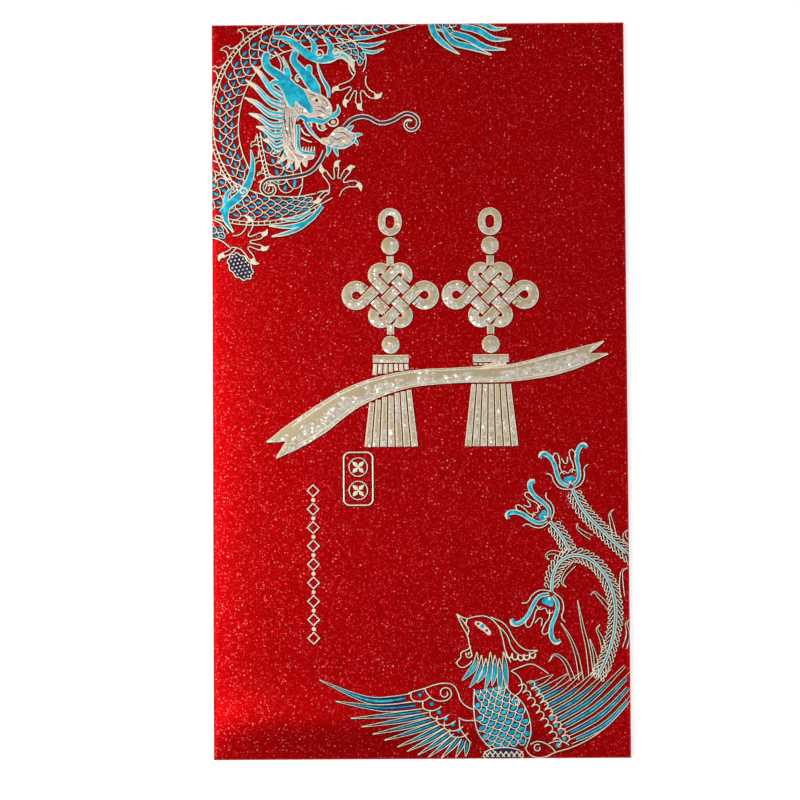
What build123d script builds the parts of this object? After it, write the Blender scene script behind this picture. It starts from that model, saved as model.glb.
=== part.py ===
from build123d import *
import os
from math import hypot, sqrt

# A red gift envelope: one die-cut card sheet, folded and glued, with foil stamped on its front.
# It lies on its back, +Z out of the front, +Y towards the closure fold, origin under its middle.
# All sizes are in mm.

# Card sheet
WIDTH = 93.0
HEIGHT = 165.0
CARD = 0.30
GLUE = 0.10
NOTE_ROOM = 0.80

# Closure flap, free, folded under the back
FLAP_DEPTH = 38.0
FLAP_SIDE_INSET = 1.5
FLAP_TAPER = 9.0
FLAP_CORNER = 7.0

# Bottom flap, glued outside the back
BOTTOM_DEPTH = 16.0
BOTTOM_SIDE_INSET = 2.0
BOTTOM_TAPER = 5.0
BOTTOM_CORNER = 2.0
BOTTOM_GLUE_WIDTH = 9.0
BOTTOM_GLUE_LENGTH = 70.0
BOTTOM_GLUE_MARGIN = 2.5

# Back panel and the side seam inside it
MOUTH_DROP = 4.0
BACK_EDGE_INSET = 2.5
BACK_FOOT_GAP = 0.6
TAB_WIDTH = 13.0
TAB_END_INSET = 5.0
TAB_CHAMFER = 6.0
SEAM_GLUE_WIDTH = 7.0
SEAM_GLUE_END_INSET = 16.0

# Stamped foil
FOIL = 0.05
FOIL_GAP = 0.30
TWIN_SPACING = 22.4
EMBLEM_X = 4.7
EMBLEM_Y = 21.0
STRAND = 2.3
STRAND_PITCH = 3.3
EAR_RADIUS = 2.1
CORD = 1.6
CORD_LENGTH = 2.2
BEAD_RADIUS = 2.0
HANGER_WIDTH = 5.2
HANGER_HEIGHT = 6.2
TASSEL_LENGTH = 20.5
TASSEL_STRANDS = 7
TASSEL_TOP_PITCH = 1.15
TASSEL_FOOT_PITCH = 1.75

# Ribbon behind the emblem: centre line from the emblem's middle, and its width there
RIBBON_LINE = [(-38, -34.5), (-29, -29), (-19, -22.5), (-8, -19), (4, -18), (16, -17.5), (28, -15), (37, -12)]
RIBBON_WIDTHS = [5.2, 6.4, 5.0, 3.8, 3.4, 3.8, 5.0, 3.4]
RIBBON_NOTCH = 4.0

# Seal under the emblem and the running ornament beside it
SEAL_X, SEAL_Y = -13.9, -20.0
SEAL_WIDTH = 6.8
SEAL_HEIGHT = 12.1
SEAL_CORNER = 1.3
SEAL_LINE = 0.4
SEAL_FLOWERS = 2
SEAL_FLOWER_PITCH = 5.2
PETALS = 4
PETAL_LENGTH = 1.6
PETAL_WIDTH = 1.0
COLUMN_X, COLUMN_Y = -24.0, -39.0
COLUMN_LINKS = 9
COLUMN_PITCH = 4.1
LOZENGE = 2.2
LOZENGE_LINE = 0.5
COLUMN_DOT = 0.45

# Dragon, from the front's top left corner
DRAGON_LINE = 1.1
DRAGON_BACK = [(46, -0.5), (32, -2), (19, -2.6), (10.5, -6), (5, -12), (2.6, -21), (2.8, -29), (6.5, -34.5)]
DRAGON_BACK_WIDTHS = [3.0, 4.5, 5.5, 6.0, 6.0, 5.6, 5.0, 3.0]
DRAGON_COIL = [(1.2, -32), (2.6, -38.4), (7.5, -42), (14, -43), (20, -41.5), (25, -39)]
DRAGON_COIL_WIDTHS = [5.0, 6.0, 5.2, 5.0, 4.6, 3.0]
DRAGON_HEAD = [(12, -10), (20, -13), (25.5, -18), (28, -21), (25, -24), (28.5, -27), (21, -31), (14, -29), (11, -20)]
DRAGON_MANE = [(12.5, -9), (15.5, -13.5), (19, -18.5), (22.5, -20.5)]
DRAGON_MANE_WIDTHS = [1.4, 2.6, 3.8, 1.6]
PEARL_X, PEARL_Y = 6.4, -54.8
PEARL_LENGTH = 7.0
PEARL_WIDTH = 4.4
PEARL_TURN = -50.0

# Phoenix, from the front's bottom right corner
PHOENIX_LINE = 0.9
PHOENIX_BODY_X, PHOENIX_BODY_Y = -29.3, 11.0
PHOENIX_BODY_LENGTH = 17.0
PHOENIX_BODY_WIDTH = 11.0
PHOENIX_BODY_TURN = 12.0
PHOENIX_NECK = [(-31.2, 17), (-31.6, 22), (-32.3, 27), (-34.5, 30.5), (-38, 32.2)]
PHOENIX_NECK_WIDTHS = [5.5, 4.4, 5.0, 3.6, 0.6]
FEATHERS = 8
FEATHER_WIDTH = 1.7
FEATHER_TIP = 0.4
LEFT_ROOTS = [(-41.5, 14.5), (-37.5, 6)]
LEFT_MIDDLES = [(-54, 13.6), (-41, 3.8)]
LEFT_TIPS = [(-68.5, 17.5), (-45, 1.6)]
RIGHT_ROOTS = [(-23, 13.5), (-18, 4)]
RIGHT_MIDDLES = [(-17, 16), (-8, 8)]
RIGHT_TIPS = [(-10, 20), (1, 17)]
PLUME_WIDTH = 2.6
PLUMES = [
    [(-11, 19), (-5, 24.5), (-3.4, 34), (-7, 41.5), (-13, 44.6), (-17.2, 41), (-18, 37.5)],
    [(0, 43.5), (-5, 49.5), (-10, 55), (-12.8, 59.5)],
    [(-13.6, 46.4), (-15.4, 49), (-17.6, 51.8)],
]
BLOOMS = [(-19.5, 33.5, -20), (-13.3, 63, 0), (-20, 54.4, 40)]
BLOOM_LENGTH = 7.0
BLOOM_WIDTH = 4.6

# Levels and fold lines that follow from the sheet
back_bottom = CARD + GLUE
back_top = back_bottom + CARD
tab_bottom = back_top + GLUE
tab_top = tab_bottom + CARD
front_bottom = tab_top + NOTE_ROOM
front_top = front_bottom + CARD
end_radius = front_top / 2
left_radius = (front_top - back_bottom) / 2
right_radius = (front_top - tab_bottom) / 2
end_line = HEIGHT / 2 - end_radius
left_line = left_radius - WIDTH / 2
right_line = WIDTH / 2 - right_radius
mouth_line = HEIGHT / 2 - MOUTH_DROP


def span(x0, x1, y0, y1):
    """A rectangle between two corners."""
    return Pos((x0 + x1) / 2, (y0 + y1) / 2) * Rectangle(x1 - x0, y1 - y0)


def plate(outline, bottom, thickness):
    """A flat outline raised into a plate that starts at a level."""
    return extrude(Pos(0, 0, bottom) * outline, amount=thickness)


def fold_strip(start, run, outward, outer, length):
    """A strip of card bent half round, along a fold that starts at a point."""
    ring = Circle(outer) - Circle(outer - CARD)
    half = ring & (Pos(outer / 2, 0) * Rectangle(outer, 2 * outer))
    return extrude(Plane(origin=start, x_dir=outward, z_dir=run) * half, amount=length)


def flap_outline(half_base, taper, base_y, tip_y, corner):
    """A tapered flap with two round tip corners."""
    half_tip = half_base - taper
    corners = [(-half_base, base_y), (half_base, base_y), (half_tip, tip_y), (-half_tip, tip_y)]
    outline = make_face(Polyline(*corners, close=True))
    tips = [v for v in outline.vertices() if abs(v.Y - tip_y) < abs(v.Y - base_y)]
    return fillet(tips, corner)


def tapered_band(points, widths):
    """A band along a smooth line through the points, with its own width at each."""
    left, right = [], []
    for k, (x, y) in enumerate(points):
        x0, y0 = points[max(k - 1, 0)]
        x1, y1 = points[min(k + 1, len(points) - 1)]
        share = widths[k] / 2 / hypot(x1 - x0, y1 - y0)
        left.append((x - (y1 - y0) * share, y + (x1 - x0) * share))
        right.insert(0, (x + (y1 - y0) * share, y - (x1 - x0) * share))
    edges = [Spline(*left), Line(left[-1], right[0]), Spline(*right), Line(right[-1], left[0])]
    return make_face(edges)


def ring_part(radius, keep):
    """The part of a strand ring that lies in the kept outline."""
    return (Circle(radius + STRAND / 2) - Circle(radius - STRAND / 2)) & keep


def knot_outline():
    """An endless knot of three strands each way, with the strand beneath broken at each crossing."""
    reach = STRAND_PITCH + STRAND / 2 + FOIL_GAP
    ear = STRAND_PITCH + EAR_RADIUS
    opening = STRAND + 2 * FOIL_GAP
    loop = STRAND_PITCH / 2
    outline = Sketch()
    for i in (-1, 0, 1):
        along = span(-ear if i == 1 else -reach, ear if i == -1 else reach, -STRAND / 2, STRAND / 2)
        across = span(-STRAND / 2, STRAND / 2, -ear if i == 1 else -reach, ear if i == -1 else reach)
        for j in (-1, 0, 1):
            gap = Pos(j * STRAND_PITCH, 0) * Rectangle(opening, opening)
            if (i + j) % 2:
                along -= gap
            else:
                across -= Pos(0, j * STRAND_PITCH) * Rectangle(opening, opening)
        outline += Pos(0, i * STRAND_PITCH) * along
        outline += Pos(i * STRAND_PITCH, 0) * across
    far_side = Pos(STRAND_PITCH, 0) * Rectangle(2 * STRAND_PITCH, 4 * STRAND_PITCH)
    ear_side = 4 * ear
    ear_keep = Rectangle(ear_side, ear_side) - Pos(-ear_side / 4, ear_side / 4) * Rectangle(ear_side / 2, ear_side / 2)
    for side in (0, 180):
        turn = Rot(0, 0, side)
        outline += turn * Pos(reach, loop) * ring_part(loop, far_side)
        outline += turn * Pos(loop, reach) * Rot(0, 0, 90) * ring_part(loop, far_side)
        outline += turn * Pos(ear, -ear) * ring_part(EAR_RADIUS, ear_keep)
    return Rot(0, 0, 45) * outline


def knot_foil():
    """The knot with the cord, bead and loop that it hangs by, and the cord and bead below it."""
    tip = STRAND_PITCH * sqrt(2) + STRAND / sqrt(2) + FOIL_GAP
    bead_y = tip + CORD_LENGTH + FOIL_GAP + BEAD_RADIUS
    hanger_y = bead_y + BEAD_RADIUS + FOIL_GAP + HANGER_HEIGHT / 2
    outline = knot_outline()
    for way in (-1, 1):
        outline += Pos(0, way * (tip + CORD_LENGTH / 2)) * Rectangle(CORD, CORD_LENGTH)
        outline += Pos(0, way * bead_y) * Circle(BEAD_RADIUS)
    loop = SlotOverall(HANGER_HEIGHT, HANGER_WIDTH) - SlotOverall(HANGER_HEIGHT - 2 * CORD, HANGER_WIDTH - 2 * CORD)
    return outline + Pos(0, hanger_y) * Rot(0, 0, 90) * loop


def tassel_foil():
    """A tassel that hangs from the lower bead, its threads spread towards the foot."""
    top = -(STRAND_PITCH * sqrt(2) + STRAND / sqrt(2) + CORD_LENGTH + 2 * BEAD_RADIUS + 3 * FOIL_GAP)
    outline = Sketch()
    for k in range(TASSEL_STRANDS):
        place = k - (TASSEL_STRANDS - 1) / 2
        head, foot = place * TASSEL_TOP_PITCH, place * TASSEL_FOOT_PITCH
        head_half, foot_half = (TASSEL_TOP_PITCH - FOIL_GAP) / 2, (TASSEL_FOOT_PITCH - FOIL_GAP) / 2
        corners = [(head - head_half, top), (head + head_half, top)]
        corners += [(foot + foot_half, top - TASSEL_LENGTH), (foot - foot_half, top - TASSEL_LENGTH)]
        outline += make_face(Polyline(*corners, close=True))
    return outline


def ribbon_outline(margin):
    """The swept ribbon, widened all round by a margin, with its left end notched."""
    band = tapered_band(RIBBON_LINE, [w + 2 * margin for w in RIBBON_WIDTHS])
    (x0, y0), (x1, y1) = RIBBON_LINE[:2]
    share = RIBBON_NOTCH / hypot(x1 - x0, y1 - y0)
    half = RIBBON_WIDTHS[0] / 2 / RIBBON_NOTCH
    tip = (x0 + (x1 - x0) * share, y0 + (y1 - y0) * share)
    along = (tip[0] - x0, tip[1] - y0)
    sides = [(x0 - along[0] + way * along[1] * half * 2, y0 - along[1] - way * along[0] * half * 2) for way in (-1, 1)]
    return band - make_face(Polyline(sides[0], tip, sides[1], close=True))


def seal_frame():
    """A thin rounded frame."""
    inner = RectangleRounded(SEAL_WIDTH - 2 * SEAL_LINE, SEAL_HEIGHT - 2 * SEAL_LINE, SEAL_CORNER - SEAL_LINE)
    return RectangleRounded(SEAL_WIDTH, SEAL_HEIGHT, SEAL_CORNER) - inner


def seal_flowers():
    """Small petalled flowers, one above the other."""
    petal = Pos(PETAL_LENGTH / 2 + FOIL_GAP / 2, 0) * Ellipse(PETAL_LENGTH / 2, PETAL_WIDTH / 2)
    flower = Sketch() + [Rot(0, 0, 45 + k * 360 / PETALS) * petal for k in range(PETALS)]
    rows = [(k - (SEAL_FLOWERS - 1) / 2) * SEAL_FLOWER_PITCH for k in range(SEAL_FLOWERS)]
    return Sketch() + [Pos(0, y) * flower for y in rows]


def column_outline():
    """A running chain of lozenges with dots between them."""
    hole = LOZENGE - 2 * LOZENGE_LINE
    lozenge = Rot(0, 0, 45) * (Rectangle(LOZENGE, LOZENGE) - Rectangle(hole, hole))
    outline = Sketch()
    for k in range(COLUMN_LINKS):
        y = ((COLUMN_LINKS - 1) / 2 - k) * COLUMN_PITCH
        outline += Pos(0, y) * lozenge
        if k:
            outline += Pos(0, y + COLUMN_PITCH / 2) * Circle(COLUMN_DOT)
    return outline


def dragon_outlines():
    """The dragon's gold outline and the turquoise that it holds, from the front's top left corner."""
    whole, core = Sketch(), Sketch()
    for line, widths in ((DRAGON_BACK, DRAGON_BACK_WIDTHS), (DRAGON_COIL, DRAGON_COIL_WIDTHS)):
        whole += tapered_band(line, widths)
        core += tapered_band(line, [w - 2 * DRAGON_LINE + FOIL_GAP for w in widths])
    whole += make_face(Spline(*DRAGON_HEAD, periodic=True))
    core -= make_face(Spline(*DRAGON_HEAD, periodic=True))
    core += tapered_band(DRAGON_MANE, DRAGON_MANE_WIDTHS)
    return whole - core, core & whole


def between(ends, share):
    """The point a share of the way from one end to the other."""
    (x0, y0), (x1, y1) = ends
    return x0 + (x1 - x0) * share, y0 + (y1 - y0) * share


def phoenix_outlines():
    """The phoenix's gold outline and the turquoise that it holds, from the front's bottom right corner."""
    place = Pos(PHOENIX_BODY_X, PHOENIX_BODY_Y) * Rot(0, 0, PHOENIX_BODY_TURN)
    half_width, half_length = PHOENIX_BODY_WIDTH / 2, PHOENIX_BODY_LENGTH / 2
    whole = place * Ellipse(half_width, half_length)
    core = place * Ellipse(half_width - PHOENIX_LINE, half_length - PHOENIX_LINE)
    whole += tapered_band(PHOENIX_NECK, PHOENIX_NECK_WIDTHS)
    for wing in ((LEFT_ROOTS, LEFT_MIDDLES, LEFT_TIPS), (RIGHT_ROOTS, RIGHT_MIDDLES, RIGHT_TIPS)):
        for k in range(FEATHERS):
            line = [between(ends, k / (FEATHERS - 1)) for ends in wing]
            whole += tapered_band(line, [FEATHER_WIDTH, FEATHER_WIDTH, FEATHER_TIP])
    for line in PLUMES:
        whole += tapered_band(line, [PLUME_WIDTH] * len(line))
    for x, y, turn in BLOOMS:
        bloom = Pos(x, y) * Rot(0, 0, turn)
        whole += bloom * Ellipse(BLOOM_WIDTH / 2, BLOOM_LENGTH / 2)
        core += bloom * Ellipse(BLOOM_WIDTH / 2 - PHOENIX_LINE, BLOOM_LENGTH / 2 - PHOENIX_LINE)
    return whole - core, core & whole


def sheet_nodes():
    """The card panels, folds and glue lines."""
    flap_half = WIDTH / 2 - FLAP_SIDE_INSET
    bottom_half = WIDTH / 2 - BOTTOM_SIDE_INSET
    left_start = (left_line, -end_line, (front_top + back_bottom) / 2)
    right_start = (right_line, -end_line, (front_top + tab_bottom) / 2)
    back_outline = span(left_line, WIDTH / 2 - BACK_EDGE_INSET, BACK_FOOT_GAP - end_line, mouth_line)
    tab_low, tab_high = TAB_END_INSET - end_line, mouth_line - TAB_END_INSET
    tab_edge = right_line - TAB_WIDTH
    tab_corners = [(right_line, tab_low), (right_line, tab_high), (tab_edge, tab_high - TAB_CHAMFER)]
    tab_corners += [(tab_edge, tab_low + TAB_CHAMFER)]
    seam_x = (tab_edge + WIDTH / 2 - BACK_EDGE_INSET) / 2
    seam = span(
        seam_x - SEAM_GLUE_WIDTH / 2, seam_x + SEAM_GLUE_WIDTH / 2,
        tab_low + SEAM_GLUE_END_INSET, tab_high - SEAM_GLUE_END_INSET,
    )
    bottom_tip = BOTTOM_DEPTH - end_line
    glue_top = bottom_tip - BOTTOM_GLUE_MARGIN
    bottom_glue = span(-BOTTOM_GLUE_LENGTH / 2, BOTTOM_GLUE_LENGTH / 2, glue_top - BOTTOM_GLUE_WIDTH, glue_top)
    closure = flap_outline(flap_half, FLAP_TAPER, end_line, end_line - FLAP_DEPTH, FLAP_CORNER)
    bottom = flap_outline(bottom_half, BOTTOM_TAPER, -end_line, bottom_tip, BOTTOM_CORNER)
    crease_start, foot_start = (-flap_half, end_line, end_radius), (-bottom_half, -end_line, end_radius)
    return {
        "front_panel": plate(front_outline(), front_bottom, CARD),
        "back_panel": plate(back_outline, back_bottom, CARD),
        "left_fold": fold_strip(left_start, (0, 1, 0), (-1, 0, 0), left_radius, 2 * end_line),
        "right_fold": fold_strip(right_start, (0, 1, 0), (1, 0, 0), right_radius, 2 * end_line),
        "side_seam_tab": plate(make_face(Polyline(*tab_corners, close=True)), tab_bottom, CARD),
        "side_seam_glue": plate(seam, back_top, GLUE),
        "bottom_fold": fold_strip(foot_start, (1, 0, 0), (0, -1, 0), end_radius, 2 * bottom_half),
        "bottom_flap": plate(bottom, 0, CARD),
        "bottom_flap_glue": plate(bottom_glue, CARD, GLUE),
        "flap_crease": fold_strip(crease_start, (1, 0, 0), (0, 1, 0), end_radius, 2 * flap_half),
        "closure_flap": plate(closure, 0, CARD),
    }


def front_outline():
    """The flat of the front between its four folds."""
    return span(left_line, right_line, -end_line, end_line)


def foil_outlines():
    """Each stamped foil, flat and in its place on the front."""
    emblem = Pos(EMBLEM_X, EMBLEM_Y)
    dragon = Pos(-WIDTH / 2, HEIGHT / 2)
    phoenix = Pos(WIDTH / 2, -HEIGHT / 2)
    dragon_gold, dragon_turquoise = dragon_outlines()
    phoenix_gold, phoenix_turquoise = phoenix_outlines()
    around_ribbon = emblem * ribbon_outline(FOIL_GAP)
    outlines = {
        "ribbon_foil": emblem * ribbon_outline(0),
        "seal_frame_foil": Pos(SEAL_X, SEAL_Y) * seal_frame(),
        "seal_flower_foil": Pos(SEAL_X, SEAL_Y) * seal_flowers(),
        "column_foil": Pos(COLUMN_X, COLUMN_Y) * column_outline(),
        "dragon_gold_foil": dragon * dragon_gold,
        "dragon_turquoise_foil": dragon * dragon_turquoise,
        "dragon_pearl_print": dragon * Pos(PEARL_X, PEARL_Y) * Rot(0, 0, PEARL_TURN)
        * Ellipse(PEARL_LENGTH / 2, PEARL_WIDTH / 2),
        "phoenix_gold_foil": phoenix * phoenix_gold,
        "phoenix_turquoise_foil": phoenix * phoenix_turquoise,
    }
    for side, name in ((-1, "left"), (1, "right")):
        twin = emblem * Pos(side * TWIN_SPACING / 2, 0)
        outlines[f"{name}_knot_foil"] = twin * knot_foil()
        outlines[f"{name}_tassel_foil"] = twin * tassel_foil() - around_ribbon
    return outlines


def main():
    """Builds every node and writes one STEP file for each."""
    nodes = sheet_nodes()
    front = front_outline()
    for name, outline in foil_outlines().items():
        nodes[name] = plate(outline & front, front_top, FOIL)
    os.makedirs("parts", exist_ok=True)
    for name, shape in nodes.items():
        shape.label = name
        export_step(shape, f"parts/{name}.step")


main()
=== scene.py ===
"""Looks of a red gift envelope: pearl card, stamped foil and a plain white studio."""

import logging
import math
from collections.abc import Callable
from dataclasses import dataclass, field, replace
from enum import Enum
from functools import partial

import bmesh
import bpy
from bmesh.types import BMesh
from bpy.types import Material
from mathutils import Matrix, Vector


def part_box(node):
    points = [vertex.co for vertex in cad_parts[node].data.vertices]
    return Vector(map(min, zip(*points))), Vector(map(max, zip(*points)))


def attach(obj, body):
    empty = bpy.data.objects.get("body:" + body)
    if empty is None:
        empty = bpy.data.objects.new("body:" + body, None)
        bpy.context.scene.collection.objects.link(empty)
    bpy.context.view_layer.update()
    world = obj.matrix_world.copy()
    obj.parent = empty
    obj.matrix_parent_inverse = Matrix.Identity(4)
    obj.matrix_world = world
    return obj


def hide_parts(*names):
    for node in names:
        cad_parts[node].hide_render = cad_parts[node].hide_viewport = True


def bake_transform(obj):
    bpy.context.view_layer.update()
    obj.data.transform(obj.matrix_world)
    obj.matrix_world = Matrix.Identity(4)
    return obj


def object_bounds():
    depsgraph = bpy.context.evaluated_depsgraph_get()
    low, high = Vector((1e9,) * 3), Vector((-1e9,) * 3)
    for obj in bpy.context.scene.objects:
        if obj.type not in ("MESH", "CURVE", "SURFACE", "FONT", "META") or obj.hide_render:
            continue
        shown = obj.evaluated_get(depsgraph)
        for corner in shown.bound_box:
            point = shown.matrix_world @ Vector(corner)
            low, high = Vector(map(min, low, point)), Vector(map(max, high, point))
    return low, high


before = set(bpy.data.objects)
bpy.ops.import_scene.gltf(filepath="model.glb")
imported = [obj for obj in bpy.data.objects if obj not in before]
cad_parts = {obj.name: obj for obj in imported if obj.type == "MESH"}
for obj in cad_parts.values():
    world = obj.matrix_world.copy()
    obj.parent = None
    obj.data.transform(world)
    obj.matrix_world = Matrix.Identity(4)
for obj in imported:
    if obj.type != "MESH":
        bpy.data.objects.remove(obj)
CAD_BOX = [list(corner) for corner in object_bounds()]

LOG = logging.getLogger("red_envelope")
MM = 0.001
SLEEVE = "sleeve"
Point = tuple[float, float]
Colour = tuple[float, float, float]
Spot = tuple[float, float, float]
Place = Callable[[float, float], Spot]
Socket = bpy.types.NodeSocket


def node_box(name: str) -> tuple[Vector, Vector]:
    """Gives a CAD node's lowest and highest corners in mm."""
    low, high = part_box(name)
    return low / MM, high / MM


class Bench:
    """Places and links the nodes of one shader tree."""

    def __init__(self, tree: bpy.types.NodeTree) -> None:
        """Takes the tree to work on."""
        self.tree = tree

    def add(self, kind: str, inputs: dict | None = None, **settings: object) -> bpy.types.Node:
        """Adds a node.

        Args:
            kind: The node's type name.
            inputs: Values or sockets for its inputs, by name or number.
            settings: The node's own properties.

        Returns:
            The new node.
        """
        node = self.tree.nodes.new(kind)
        for name, value in settings.items():
            setattr(node, name, value)
        self.connect(node, inputs or {})
        return node

    def connect(self, node: bpy.types.Node, inputs: dict) -> None:
        """Links sockets to a node's inputs, or sets their values.

        Args:
            node: The node.
            inputs: Values or sockets for its inputs, by name or number.
        """
        for key, value in inputs.items():
            if isinstance(value, Socket):
                self.tree.links.new(value, node.inputs[key])
            else:
                node.inputs[key].default_value = value

    def maths(self, operation: str, first: object, second: object = 0.0) -> Socket:
        """Adds a Math node and gives its result."""
        return self.add("ShaderNodeMath", {0: first, 1: second}, operation=operation).outputs[0]

    def vector(self, operation: str, first: object, second: object) -> Socket:
        """Adds a Vector Math node and gives its vector."""
        return self.add("ShaderNodeVectorMath", {0: first, 1: second}, operation=operation).outputs[0]

    def scaled(self, vector: object, scale: object) -> Socket:
        """Scales a vector."""
        return self.add("ShaderNodeVectorMath", {0: vector, "Scale": scale}, operation="SCALE").outputs[0]

    def dot(self, vector: object, direction: Vector) -> Socket:
        """Gives how far a vector points along a direction."""
        return self.add("ShaderNodeVectorMath", {0: vector, 1: direction}, operation="DOT_PRODUCT").outputs[1]

    def step(self, value: object, low: object, high: object) -> Socket:
        """Eases from 0 to 1 while the value goes from low to high."""
        inputs = {"Value": value, "From Min": low, "From Max": high}
        return self.add("ShaderNodeMapRange", inputs, interpolation_type="SMOOTHSTEP").outputs[0]

    def spread(self, value: object, start: object, end: object) -> Socket:
        """Spreads a value of 0 to 1 from start to end."""
        return self.add("ShaderNodeMapRange", {"Value": value, "To Min": start, "To Max": end}).outputs[0]

    def mix(self, factor: object, first: object, second: object) -> Socket:
        """Mixes two colours."""
        first, second = ((*c, 1.0) if isinstance(c, tuple) else c for c in (first, second))
        return self.add("ShaderNodeMix", {0: factor, 6: first, 7: second}, data_type="RGBA").outputs[2]

    def mix_vector(self, factor: object, first: object, second: object) -> Socket:
        """Mixes two vectors."""
        return self.add("ShaderNodeMix", {0: factor, 4: first, 5: second}, data_type="VECTOR").outputs[1]

    def millimetres(self) -> Socket:
        """Gives the place on the object in mm."""
        return self.scaled(self.add("ShaderNodeTexCoord").outputs["Object"], 1 / MM)

    def noise(self, place: object, size_mm: float, detail: float = 2.0) -> Socket:
        """Gives noise whose lumps have a size in mm."""
        inputs = {"Vector": place, "Scale": 1 / size_mm, "Detail": detail}
        return self.add("ShaderNodeTexNoise", inputs).outputs[0]

    def bump(self, height: object, depth_mm: float, strength: float) -> Socket:
        """Raises the surface by a height map of a depth in mm."""
        inputs = {"Strength": strength, "Distance": depth_mm * MM, "Height": height}
        return self.add("ShaderNodeBump", inputs).outputs[0]

    def group(self, tree: bpy.types.NodeTree, values: dict[str, float]) -> bpy.types.Node:
        """Places a shader group with its own values."""
        return self.add("ShaderNodeGroup", values, node_tree=tree)


def start_group(name: str, inputs: dict[str, float],
                outputs: dict[str, str]) -> tuple[Bench, bpy.types.Node, bpy.types.Node]:
    """Starts a shader group.

    Args:
        name: The group's name.
        inputs: Its value inputs and their defaults.
        outputs: Its outputs and their socket types.

    Returns:
        The bench, the group's input node and its output node.
    """
    tree = bpy.data.node_groups.new(name, "ShaderNodeTree")
    for label, value in inputs.items():
        socket = tree.interface.new_socket(label, in_out="INPUT", socket_type="NodeSocketFloat")
        socket.default_value = value
    for label, kind in outputs.items():
        tree.interface.new_socket(label, in_out="OUTPUT", socket_type=kind)
    bench = Bench(tree)
    return bench, bench.add("NodeGroupInput"), bench.add("NodeGroupOutput")


def leaning_normal(bench: Bench, direction: Socket, lean: object) -> Socket:
    """Tilts the surface normal by a colour's offset from grey.

    Args:
        bench: The bench to work on.
        direction: A random colour, one for each flake or facet.
        lean: How far the normal may tilt.

    Returns:
        The tilted normal.
    """
    offset = bench.scaled(bench.vector("SUBTRACT", direction, (0.5, 0.5, 0.5)), lean)
    tilted = bench.vector("ADD", bench.add("ShaderNodeNewGeometry").outputs["Normal"], offset)
    return bench.add("ShaderNodeVectorMath", {0: tilted}, operation="NORMALIZE").outputs[0]


def cell_pattern(bench: Bench, cell: Socket, **settings: str) -> bpy.types.Node:
    """Adds a Voronoi pattern whose cells have a size in mm."""
    place = bench.scaled(bench.millimetres(), bench.maths("DIVIDE", 1.0, cell))
    return bench.add("ShaderNodeTexVoronoi", {"Vector": place, "Scale": 1.0}, **settings)


def glitter_group() -> bpy.types.NodeTree:
    """Builds scattered flakes: where they lie, how bright each is and how it leans.

    Returns:
        The group, with cell size in mm, flake radius and share of cells as inputs.
    """
    outputs = {"Mask": "NodeSocketFloat", "Shade": "NodeSocketFloat", "Normal": "NodeSocketVector"}
    inputs = {"Cell": 1.0, "Radius": 0.2, "Share": 0.5, "Lean": 0.8}
    bench, given, result = start_group("glitter_flakes", inputs, outputs)
    cells = cell_pattern(bench, given.outputs["Cell"])
    chance = bench.add("ShaderNodeSeparateColor", {0: cells.outputs["Color"]})
    core = bench.maths("MULTIPLY", given.outputs["Radius"], 0.6)
    outside = bench.step(cells.outputs["Distance"], core, given.outputs["Radius"])
    picked = bench.maths("LESS_THAN", chance.outputs[0], given.outputs["Share"])
    mask = bench.maths("MULTIPLY", bench.maths("SUBTRACT", 1.0, outside), picked)
    normal = leaning_normal(bench, cells.outputs["Color"], given.outputs["Lean"])
    bench.connect(result, {"Mask": mask, "Shade": chance.outputs[1], "Normal": normal})
    return bench.tree


def mosaic_group() -> bpy.types.NodeTree:
    """Builds the cracked facets of hologram foil.

    Returns:
        The group, with facet size in mm as input, and each facet's shade, hue, edge and normal.
    """
    outputs = {name: "NodeSocketFloat" for name in ("Shade", "Hue", "Crack")}
    outputs["Normal"] = "NodeSocketVector"
    bench, given, result = start_group("hologram_mosaic", {"Cell": 0.6, "Lean": 0.5}, outputs)
    cells = cell_pattern(bench, given.outputs["Cell"])
    edges = cell_pattern(bench, given.outputs["Cell"], feature="DISTANCE_TO_EDGE")
    chance = bench.add("ShaderNodeSeparateColor", {0: cells.outputs["Color"]})
    crack = bench.maths("SUBTRACT", 1.0, bench.step(edges.outputs["Distance"], 0.02, 0.1))
    normal = leaning_normal(bench, cells.outputs["Color"], given.outputs["Lean"])
    found = {"Shade": chance.outputs[0], "Hue": chance.outputs[1], "Crack": crack, "Normal": normal}
    bench.connect(result, found)
    return bench.tree


class Groups:
    """The shader groups, built once and shared by the finishes."""

    glitter: bpy.types.NodeTree
    mosaic: bpy.types.NodeTree

    @classmethod
    def build(cls) -> None:
        """Builds every group."""
        cls.glitter = glitter_group()
        cls.mosaic = mosaic_group()


def start_material(name: str) -> tuple[Material, Bench, bpy.types.Node]:
    """Starts a material.

    Args:
        name: The material's name.

    Returns:
        The material, a bench on its tree and its Principled shader.
    """
    material = bpy.data.materials.new(name)
    material.use_nodes = True
    return material, Bench(material.node_tree), material.node_tree.nodes["Principled BSDF"]


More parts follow.
